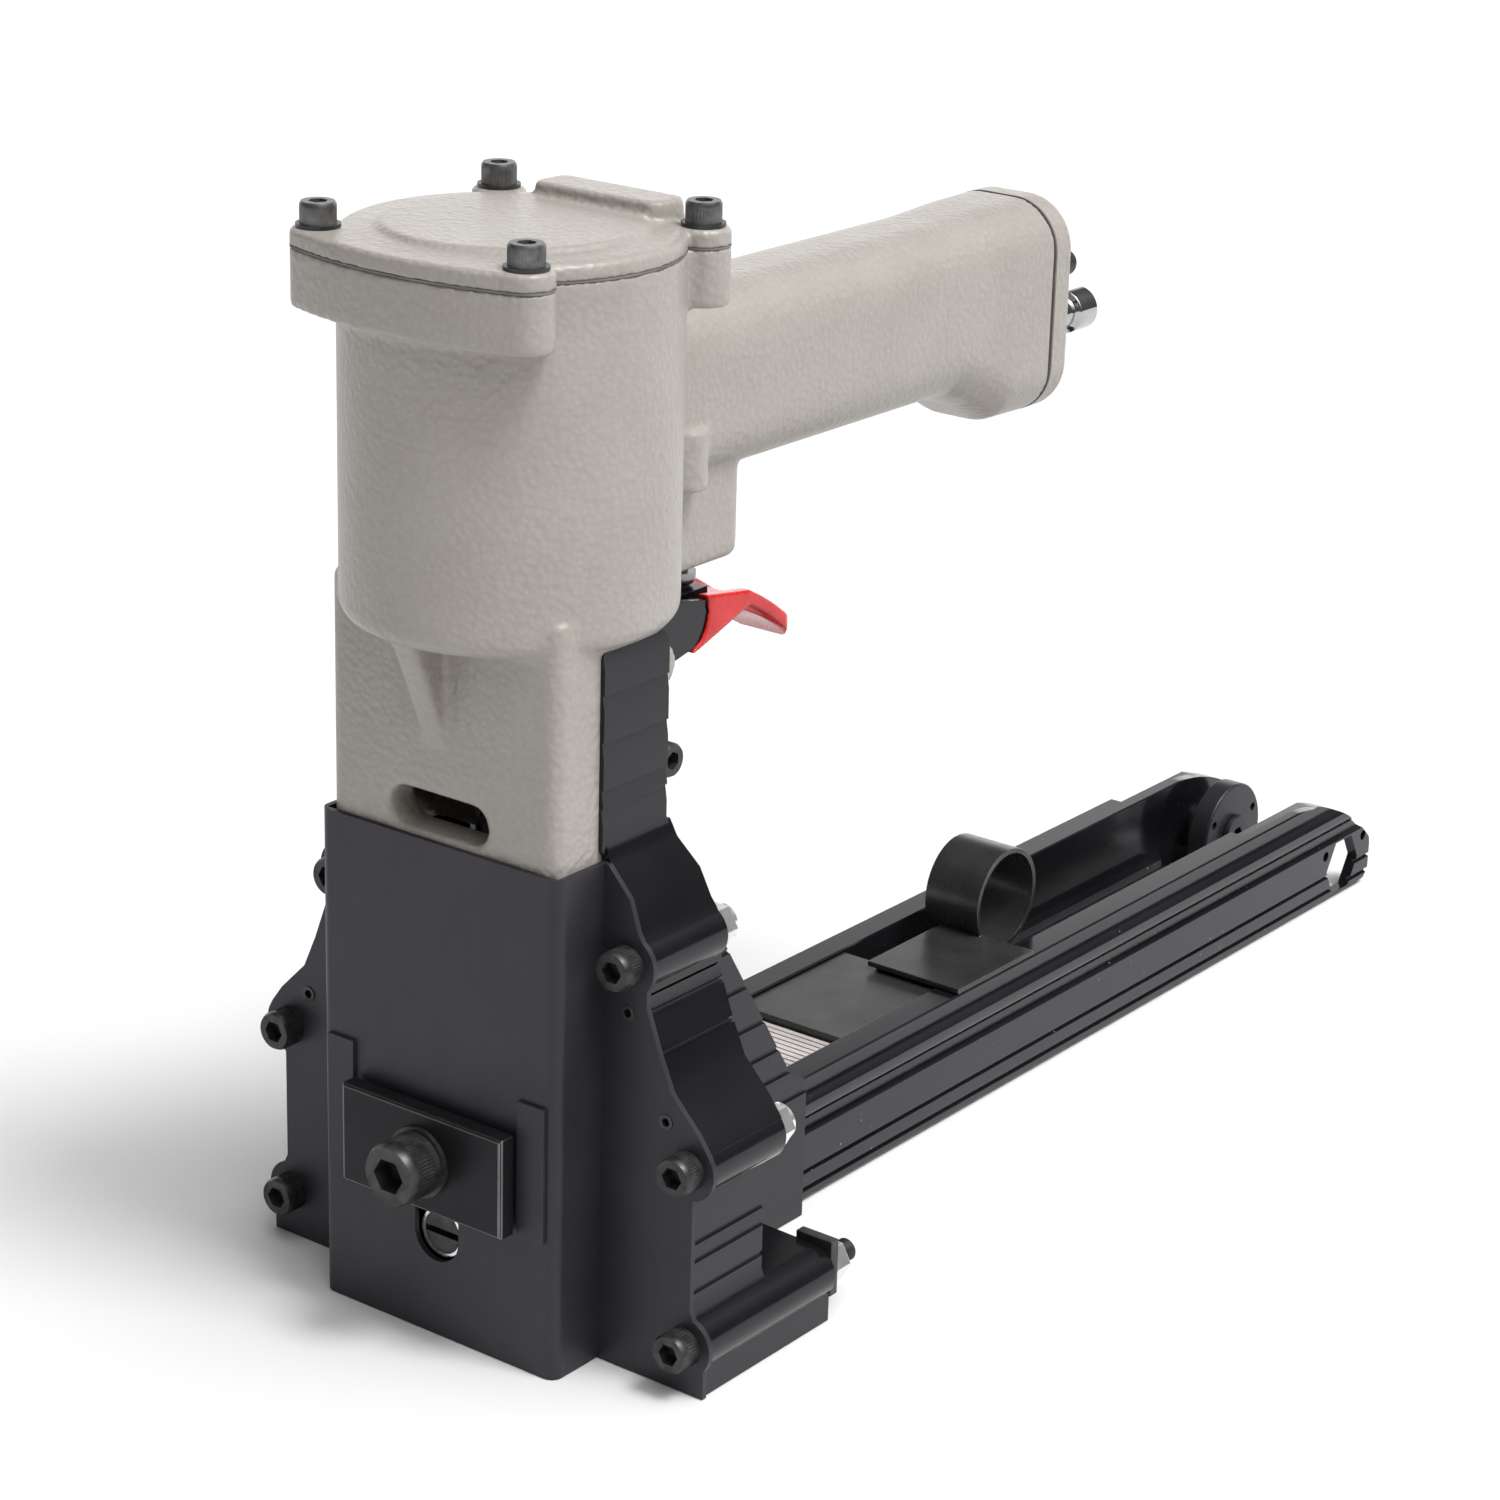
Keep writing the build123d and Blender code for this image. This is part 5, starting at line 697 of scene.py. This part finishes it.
class Tree:
    """A Geometry Nodes tree with short calls for the nodes that this lesson uses."""

    def __init__(self, name, inputs):
        self.tree = bpy.data.node_groups.new(name, "GeometryNodeTree")
        add_inputs(self.tree, inputs)
        self.given = self.tree.nodes.new("NodeGroupInput")
        self.result = self.tree.nodes.new("NodeGroupOutput")

    def node(self, kind, **settings):
        made = self.tree.nodes.new(kind)
        for key, value in settings.items():
            setattr(made, key, value)
        return made

    def feed(self, node, socket, value):
        """Sets a socket from a number or from another node's output."""
        if isinstance(value, bpy.types.NodeSocket):
            self.tree.links.new(value, node.inputs[socket])
        else:
            node.inputs[socket].default_value = value

    def math(self, operation, first, second=0.0):
        made = self.node("ShaderNodeMath", operation=operation)
        self.feed(made, 0, first)
        self.feed(made, 1, second)
        return made.outputs[0]

    def vector(self, x, y, z):
        made = self.node("ShaderNodeCombineXYZ")
        for socket, value in zip(("X", "Y", "Z"), (x, y, z)):
            self.feed(made, socket, value)
        return made.outputs["Vector"]

    def shift(self, geometry, offset):
        made = self.node("GeometryNodeSetPosition")
        self.feed(made, "Geometry", geometry)
        self.feed(made, "Offset", offset)
        return made.outputs["Geometry"]

    def narrow(self, geometry, share, chosen=None):
        """Scales the points' X and Y by a share, on all points or on the chosen ones."""
        place = self.node("GeometryNodeInputPosition").outputs[0]
        scaled = self.node("ShaderNodeVectorMath", operation="MULTIPLY")
        self.feed(scaled, 0, place)
        self.feed(scaled, 1, self.vector(share, share, 1.0))
        made = self.node("GeometryNodeSetPosition")
        self.feed(made, "Geometry", geometry)
        self.feed(made, "Position", scaled.outputs[0])
        if chosen is not None:
            self.feed(made, "Selection", chosen)
        return made.outputs["Geometry"]

    def rod(self, radius, length, sides, steps):
        made = self.node("GeometryNodeMeshCylinder", fill_type="NGON")
        for socket, value in (
            ("Vertices", sides), ("Side Segments", steps), ("Radius", radius), ("Depth", length)
        ):
            self.feed(made, socket, value)
        return made.outputs["Mesh"]

    def height(self):
        split = self.node("ShaderNodeSeparateXYZ")
        self.feed(split, 0, self.node("GeometryNodeInputPosition").outputs[0])
        return split.outputs["Z"]

    def join(self, *parts):
        made = self.node("GeometryNodeJoinGeometry")
        for part in parts:
            self.tree.links.new(part, made.inputs[0])
        return made.outputs[0]

    def end(self, geometry, finish):
        """Realizes instances, sets the finish and closes the tree."""
        real = self.node("GeometryNodeRealizeInstances")
        self.feed(real, 0, geometry)
        painted = self.node("GeometryNodeSetMaterial")
        painted.inputs["Material"].default_value = finish
        self.feed(painted, "Geometry", real.outputs[0])
        self.tree.links.new(painted.outputs[0], self.result.inputs[0])
        return self.tree


def screw_tree():
    make = Tree(
        "knurled socket screw",
        [
            ("Head Radius", "NodeSocketFloat", 5 * MM),
            ("Head Height", "NodeSocketFloat", 6 * MM),
            ("Key Width", "NodeSocketFloat", 5 * MM),
            ("Shank Radius", "NodeSocketFloat", 3 * MM),
            ("Shank Length", "NodeSocketFloat", 30 * MM),
            ("Thread Pitch", "NodeSocketFloat", 1 * MM),
            ("Knurls", "NodeSocketInt", 44),
        ],
    )
    size = make.given.outputs
    index = make.node("GeometryNodeInputIndex").outputs[0]
    # Head: two points for each knurl, every second one a little lower, and a broken edge on top
    sides = make.math("MULTIPLY", size["Knurls"], 2.0)
    head = make.rod(size["Head Radius"], size["Head Height"], sides, HEAD_RINGS)
    level = make.math("DIVIDE", make.height(), size["Head Height"])
    from_band = make.math("ABSOLUTE", make.math("ADD", level, KNURL_DROP))
    in_band = make.math("LESS_THAN", from_band, KNURL_BAND)
    every_second = make.math("MULTIPLY", make.math("MODULO", index, 2.0), in_band)
    head = make.narrow(head, KNURL_VALLEY, every_second)
    head = make.narrow(head, BROKEN_EDGE, make.math("GREATER_THAN", level, BROKEN_FROM))
    key_radius = make.math("DIVIDE", size["Key Width"], 2 * cos(pi / 6))
    key = make.rod(key_radius, size["Head Height"], 6, 1)
    lift = make.math("MULTIPLY", size["Head Height"], SOCKET_LIFT)
    key = make.shift(key, make.vector(0.0, 0.0, lift))
    cut = make.node("GeometryNodeMeshBoolean", operation="DIFFERENCE")
    make.feed(cut, "Mesh 1", head)
    make.tree.links.new(key, cut.inputs["Mesh 2"])
    half_height = make.math("MULTIPLY", size["Head Height"], 0.5)
    head = make.shift(cut.outputs["Mesh"], make.vector(0.0, 0.0, half_height))
    # Shank: rings of alternating radius read as a thread
    steps = make.math("ROUND", make.math("DIVIDE", size["Shank Length"], size["Thread Pitch"]))
    rings = make.math("MULTIPLY", steps, 2.0)
    shank = make.rod(size["Shank Radius"], size["Shank Length"], SHANK_SIDES, rings)
    ring = make.math("FLOOR", make.math("DIVIDE", index, float(SHANK_SIDES)))
    shank = make.narrow(shank, THREAD_ROOT, make.math("MODULO", ring, 2.0))
    half_length = make.math("MULTIPLY", size["Shank Length"], -0.5)
    shank = make.shift(shank, make.vector(0.0, 0.0, half_length))
    # One screw on each seat
    aim = make.node("GeometryNodeInputNamedAttribute", data_type="FLOAT_VECTOR")
    aim.inputs["Name"].default_value = "aim"
    turn = make.node("FunctionNodeEulerToRotation")
    make.feed(turn, 0, aim.outputs["Attribute"])
    seats = make.node("GeometryNodeInstanceOnPoints")
    make.feed(seats, "Points", size["Geometry"])
    make.feed(seats, "Instance", make.join(head, shank))
    make.feed(seats, "Rotation", turn.outputs[0])
    return make.end(seats.outputs[0], SCREW_BLACK)


SCREW_TREE = screw_tree()
print("the screw tree has", len(SCREW_TREE.nodes), "nodes")

# %% [markdown]
# A modifier's inputs are set by the identifier that Blender gave each socket, found here by its label.
# The seats are points in a mesh without faces, and each carries the angle that turns a screw from
# standing upright to pointing out of its hole.

# %% Set the screws
UPRIGHT = (0.0, 0.0, 0.0)
TO_FRONT = (pi / 2, 0.0, 0.0)
TO_BACK = (-pi / 2, 0.0, 0.0)
TO_RIGHT = (0.0, pi / 2, 0.0)
TO_LEFT = (0.0, -pi / 2, 0.0)
HEAD_SMOOTH = radians(40)


def grow(name, points, tree, sizes, aims=None, edges=()):
    """A mesh of points, grown by a Geometry Nodes tree into a plain mesh."""
    mesh = bpy.data.meshes.new(name)
    mesh.from_pydata([tuple(p) for p in points], list(edges), [])
    if aims is not None:
        attribute = mesh.attributes.new("aim", "FLOAT_VECTOR", "POINT")
        for entry, aim in zip(attribute.data, aims):
            entry.vector = aim
    piece = add_object(name, mesh)
    modifier = piece.modifiers.new("grow", "NODES")
    modifier.node_group = tree
    for item in tree.interface.items_tree:
        if item.item_type == "SOCKET" and item.in_out == "INPUT" and item.name in sizes:
            modifier[item.identifier] = sizes[item.name]
    return bake(piece)


def screw_sizes(thread, head, key, pitch, knurls):
    """A socket screw's sizes; its head is as high as its thread is wide."""
    return {
        "Shank Radius": thread / 2,
        "Head Radius": head / 2,
        "Head Height": thread,
        "Key Width": key,
        "Thread Pitch": pitch,
        "Knurls": knurls,
    }


def merge_pieces(name, pieces):
    """Several plain meshes as one piece, with a single finish to come."""
    work = bmesh.new()
    for piece in pieces:
        work.from_mesh(piece.data)
    for face in work.faces:
        face.material_index = 0
    mesh = bpy.data.meshes.new(name)
    work.to_mesh(mesh)
    work.free()
    for piece in pieces:
        bpy.data.objects.remove(piece)
    return add_object(name, mesh)


def set_screws_on(node, screw, aim_of):
    """Screws on the seats of a CAD group; a length is measured for each screw."""
    head_height = screw["Head Height"]
    grown = []
    for number, (low, high) in enumerate(islands(node)):
        middle = (low + high) / 2
        aim = aim_of(middle)
        out = Matrix.Rotation(aim[0], 3, "X") @ Matrix.Rotation(aim[1], 3, "Y") @ Vector((0, 0, 1))
        span = abs(out.dot(high - low))
        seat = middle + out * (span / 2 - head_height)
        sizes = {**screw, "Shank Length": span - head_height}
        grown.append(grow(f"{node}_{number}", [seat], SCREW_TREE, sizes, [aim]))
    piece = merge_pieces(node + "_knurled", grown)
    smooth_faces(piece, HEAD_SMOOTH)
    return stand_for(piece, node)


M4 = screw_sizes(4.0 * MM, 7.0 * MM, 3.0 * MM, 0.7 * MM, 30)
M5 = screw_sizes(5.0 * MM, 8.5 * MM, 4.0 * MM, 0.8 * MM, 36)
M6 = screw_sizes(6.0 * MM, 10.0 * MM, 5.0 * MM, 1.0 * MM, 40)
M10 = screw_sizes(10.0 * MM, 16.0 * MM, 8.0 * MM, 1.5 * MM, 56)
set_screws_on("frame_screws", M6, lambda place: TO_FRONT)
set_screws_on("cap_screws", M5, lambda place: UPRIGHT)
set_screws_on("nose_clamp_screws", M5, lambda place: TO_RIGHT if place.x > 0 else TO_LEFT)
set_screws_on("end_cap_screws", M4, lambda place: TO_BACK)
set_screws_on("adjuster_screw", M10, lambda place: TO_FRONT)

# %% [markdown]
# ## The strip of staples
# A strip is a row of bent wires held by glue, so its top shows a fine line between every two crowns. One
# staple is a bent path with a flat wire drawn along it, repeated along the magazine. The path is the
# modifier's own input mesh, and its corners are rounded before the wire is drawn.

# %% Staples
STAPLE_COUNT = 50
WIRE_THICK = 0.9 * MM
WIRE_SHARE = 0.76  # of each staple's pitch; the rest is the dark line to the next staple
strip_low, strip_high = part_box("staple_strip")


def staple_tree():
    make = Tree(
        "staple strip",
        [
            ("Count", "NodeSocketInt", STAPLE_COUNT),
            ("Pitch", "NodeSocketFloat", 2.3 * MM),
            ("Wire Width", "NodeSocketFloat", 2.2 * MM),
            ("Wire Thickness", "NodeSocketFloat", WIRE_THICK),
            ("Bend", "NodeSocketFloat", 0.8 * MM),
        ],
    )
    size = make.given.outputs
    path = make.node("GeometryNodeMeshToCurve")
    make.feed(path, "Mesh", size["Geometry"])
    bent = make.node("GeometryNodeFilletCurve", mode="POLY")
    make.feed(bent, "Curve", path.outputs[0])
    make.feed(bent, "Radius", size["Bend"])
    make.feed(bent, "Count", 3)
    profile = make.node("GeometryNodeCurvePrimitiveQuadrilateral")
    make.feed(profile, "Width", size["Wire Thickness"])
    make.feed(profile, "Height", size["Wire Width"])
    wire = make.node("GeometryNodeCurveToMesh")
    make.feed(wire, "Curve", bent.outputs[0])
    make.feed(wire, "Profile Curve", profile.outputs[0])
    make.feed(wire, "Fill Caps", True)
    row = make.node("GeometryNodeMeshLine")
    make.feed(row, "Count", size["Count"])
    make.feed(row, "Offset", make.vector(0.0, size["Pitch"], 0.0))
    strip = make.node("GeometryNodeInstanceOnPoints")
    make.feed(strip, "Points", row.outputs[0])
    make.feed(strip, "Instance", wire.outputs[0])
    return make.end(strip.outputs[0], STAPLE_WIRE)


pitch = (strip_high.y - strip_low.y) / STAPLE_COUNT
half = WIRE_THICK / 2
first = strip_low.y + pitch / 2
staple_path = [
    (strip_low.x + half, first, strip_low.z),
    (strip_low.x + half, first, strip_high.z - half),
    (strip_high.x - half, first, strip_high.z - half),
    (strip_high.x - half, first, strip_low.z),
]
staples = grow(
    "staples",
    staple_path,
    staple_tree(),
    {"Count": STAPLE_COUNT, "Pitch": pitch, "Wire Width": WIRE_SHARE * pitch},
    edges=[(0, 1), (1, 2), (2, 3)],
)
smooth_faces(staples)
stand_for(staples, "staple_strip")
ends = [tuple(round(v / MM, 2) for v in staples.bound_box[corner]) for corner in (0, 6)]
print("staples reach from", ends[0], "to", ends[1])

# %% [markdown]
# ## Springs and the ribbon
# Three pieces change shape when the tool works: the two valve springs are squeezed, and the ribbon's upper
# run grows as the pusher goes back. Here each spring gets a smooth-shaded copy with a mesh of its own, on
# the spring's body. The ribbon is drawn in two runs: a floor run that turns round the pin and stands for the
# CAD ribbon, and an upper run from the pin to the pusher's shoe, left in place without a body.

# %% Springs
COIL_SMOOTH = radians(60)


def squeezed(node):
    """A smooth-shaded copy of a valve spring, with a mesh of its own, on the spring's body."""
    piece = merged_copy(node, node + "_coil", flat_angle=0)
    smooth_faces(piece, COIL_SMOOTH)
    stand_for(piece, node)
    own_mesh(piece)


squeezed("head_valve_spring")
squeezed("trigger_valve_spring")

# %% Ribbon
RIBBON_THICK = 0.4 * MM
ribbon_low, ribbon_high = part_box("pusher_ribbon")
shoe_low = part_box("pusher_shoe")[0]
pin_low, pin_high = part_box("ribbon_guide_pin")
pin_y = (pin_low.y + pin_high.y) / 2
turn_centre = (ribbon_low.z + ribbon_high.z) / 2
turn_radius = (ribbon_high.z - ribbon_low.z - RIBBON_THICK) / 2


def strip(name, path):
    """A flat ribbon along a path of (y, z) points, as wide as the CAD ribbon."""
    mesh = bpy.data.meshes.new(name)
    work = bmesh.new()
    rows = []
    for y, z in path:
        rows.append([work.verts.new((x, y, z)) for x in (ribbon_low.x, ribbon_high.x)])
    for first_row, next_row in zip(rows, rows[1:]):
        work.faces.new((first_row[0], next_row[0], next_row[1], first_row[1]))
    work.to_mesh(mesh)
    work.free()
    piece = add_object(name, mesh)
    solid = piece.modifiers.new("thick", "SOLIDIFY")
    solid.thickness = RIBBON_THICK
    solid.offset = 0.0
    bake(piece)
    smooth_faces(piece)
    return piece


TURN_STEPS = 16
RUN_STEPS = 24
floor_run = [(ribbon_high.y, ribbon_low.z + RIBBON_THICK / 2)]
for step in range(TURN_STEPS + 1):
    angle = -pi / 2 - pi * step / TURN_STEPS
    floor_run.append((pin_y + turn_radius * cos(angle), turn_centre + turn_radius * sin(angle)))
upper_z = turn_centre + turn_radius
upper_run = [
    (pin_y + (shoe_low.y - pin_y) * step / RUN_STEPS, upper_z) for step in range(RUN_STEPS + 1)
]
lower_ribbon = strip("ribbon_floor_run", floor_run)
stand_for(lower_ribbon, "pusher_ribbon")
upper_ribbon = strip("ribbon_upper_run", upper_run)
upper_ribbon.data.materials.append(SPRING_STEEL)
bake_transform(upper_ribbon)
print("the ribbon turns round a pin of radius", round(turn_radius / MM, 2), "mm")

# %% [markdown]
# ## Camera
# The photograph was solved for its camera: where it stood, where it looked and its focal length. The
# picture is square, so the lens follows from the focal length in pixels. A small roll levels the object
# as it stands in the photograph.

# %% Camera
CAMERA_PLACE = Vector((564.9, -657.4, 460.0)) * MM
LOOK = Vector((-0.56444, 0.75208, -0.34026))
ROLL = radians(1.616)
FOCAL_PIXELS = 3873.08
IMAGE_PIXELS = 1500
SENSOR_MM = 36.0

level_right = LOOK.cross(Vector((0, 0, 1))).normalized()
level_up = level_right.cross(LOOK).normalized()
camera_right = level_right * cos(ROLL) + level_up * sin(ROLL)
camera_up = level_up * cos(ROLL) - level_right * sin(ROLL)
camera_data = bpy.data.cameras.new("photo camera")
camera_data.lens = FOCAL_PIXELS * SENSOR_MM / IMAGE_PIXELS
camera_data.sensor_width = SENSOR_MM
camera_data.clip_end = 20.0
camera = bpy.data.objects.new("photo camera", camera_data)
scene.collection.objects.link(camera)
turn = Matrix((camera_right, camera_up, -LOOK)).transposed()
camera.matrix_world = Matrix.Translation(CAMERA_PLACE) @ turn.to_4x4()
scene.camera = camera
print("the lens is", round(camera_data.lens, 2), "mm")

# %% [markdown]
# ## Floor and light
# In the photograph the faces that look right are much brighter than those that look to the front, and the
# upper faces are the brightest. So the studio is one soft glow high on the right in a dim room, with a pale
# floor that runs up into a pale backdrop. Glossy black shows the room, not its own colour: it is pale where
# it mirrors the floor or the backdrop, and nearly black where it mirrors the dim air above them. A small
# sun from the glow's side adds the glints on the beaded paint.

# %% Floor
FLOOR_HALF = 6.0
FLOOR_DROP = 0.2 * MM
floor_level = cad_box[0][2] - FLOOR_DROP
floor_mesh = bpy.data.meshes.new("floor")
corners = [(-1, -1), (1, -1), (1, 1), (-1, 1)]
floor_mesh.from_pydata(
    [(x * FLOOR_HALF, y * FLOOR_HALF, floor_level) for x, y in corners], [], [(0, 1, 2, 3)]
)
floor = add_object("floor", floor_mesh)
floor_finish = Finish("pale floor", grey(0.72), 0.9)
tone = floor_finish.noise(floor_finish.place(), 0.4, detail=2.0)
floor.data.materials.append(
    floor_finish.wear(floor_finish.ramp(tone, [(0.3, grey(0.71)), (0.7, grey(0.73))]))
)
print("the floor lies", round(FLOOR_DROP / MM, 2), "mm below the base plane")

# %% Light
GLOW_WAY = Vector((0.46, 0.04, 0.887)).normalized()
GLOW_POWER = 8.0  # how fast the glow falls off away from its middle
GLOW_PEAK = 5.0
ROOM = 0.12
BACKDROP = 1.6
BACKDROP_WAY = Vector((-0.6, 0.8, 0.0))
BACKDROP_TOP = (0.22, 0.5)  # the backdrop fades out between these heights
BACKDROP_SIDE = (0.45, 0.8)  # and to its sides between these
SUN_POWER = 1.7
SUN_SPREAD = radians(16)

world = bpy.data.worlds.new("studio")
world.use_nodes = True
scene.world = world
sky_tree = world.node_tree


def sky_node(kind, *given, **settings):
    """A node of the world's tree, with its first inputs given as numbers or as outputs."""
    made = sky_tree.nodes.new(kind)
    for key, value in settings.items():
        setattr(made, key, value)
    for socket, value in zip(made.inputs, given):
        if isinstance(value, bpy.types.NodeSocket):
            sky_tree.links.new(value, socket)
        else:
            socket.default_value = value
    return made


def faded(value, start, full, first, last):
    """A value that goes smoothly from first to last between two places."""
    made = sky_node("ShaderNodeMapRange", value, start, full, first, last)
    made.interpolation_type = "SMOOTHSTEP"
    return made.outputs["Result"]


way = sky_node("ShaderNodeTexCoord").outputs["Generated"]
towards = sky_node("ShaderNodeVectorMath", way, GLOW_WAY, operation="DOT_PRODUCT").outputs["Value"]
above = sky_node("ShaderNodeMath", towards, 0.0, operation="MAXIMUM").outputs[0]
fall = sky_node("ShaderNodeMath", above, GLOW_POWER, operation="POWER").outputs[0]
glow = sky_node("ShaderNodeMath", fall, GLOW_PEAK, ROOM, operation="MULTIPLY_ADD").outputs[0]
height = sky_node("ShaderNodeSeparateXYZ", way).outputs["Z"]
backdrop = faded(height, *BACKDROP_TOP, BACKDROP, 0.0)
behind = sky_node("ShaderNodeVectorMath", way, BACKDROP_WAY, operation="DOT_PRODUCT").outputs["Value"]
behind = faded(behind, *BACKDROP_SIDE, 0.0, 1.0)
strength = sky_node("ShaderNodeMath", backdrop, behind, glow, operation="MULTIPLY_ADD").outputs[0]
sky_tree.links.new(strength, sky_tree.nodes["Background"].inputs["Strength"])
sky_tree.nodes["Background"].inputs["Color"].default_value = (1.0, 1.0, 1.0, 1.0)

sun_data = bpy.data.lights.new("sun", "SUN")
sun_data.energy = SUN_POWER
sun_data.angle = SUN_SPREAD
sun = bpy.data.objects.new("sun", sun_data)
sun.rotation_euler = (-GLOW_WAY).to_track_quat("-Z", "Y").to_euler()
scene.collection.objects.link(sun)
scene.view_settings.view_transform = "Standard"
print("the glow stands", round(GLOW_WAY.z, 2), "up and", round(GLOW_WAY.x, 2), "to the right")
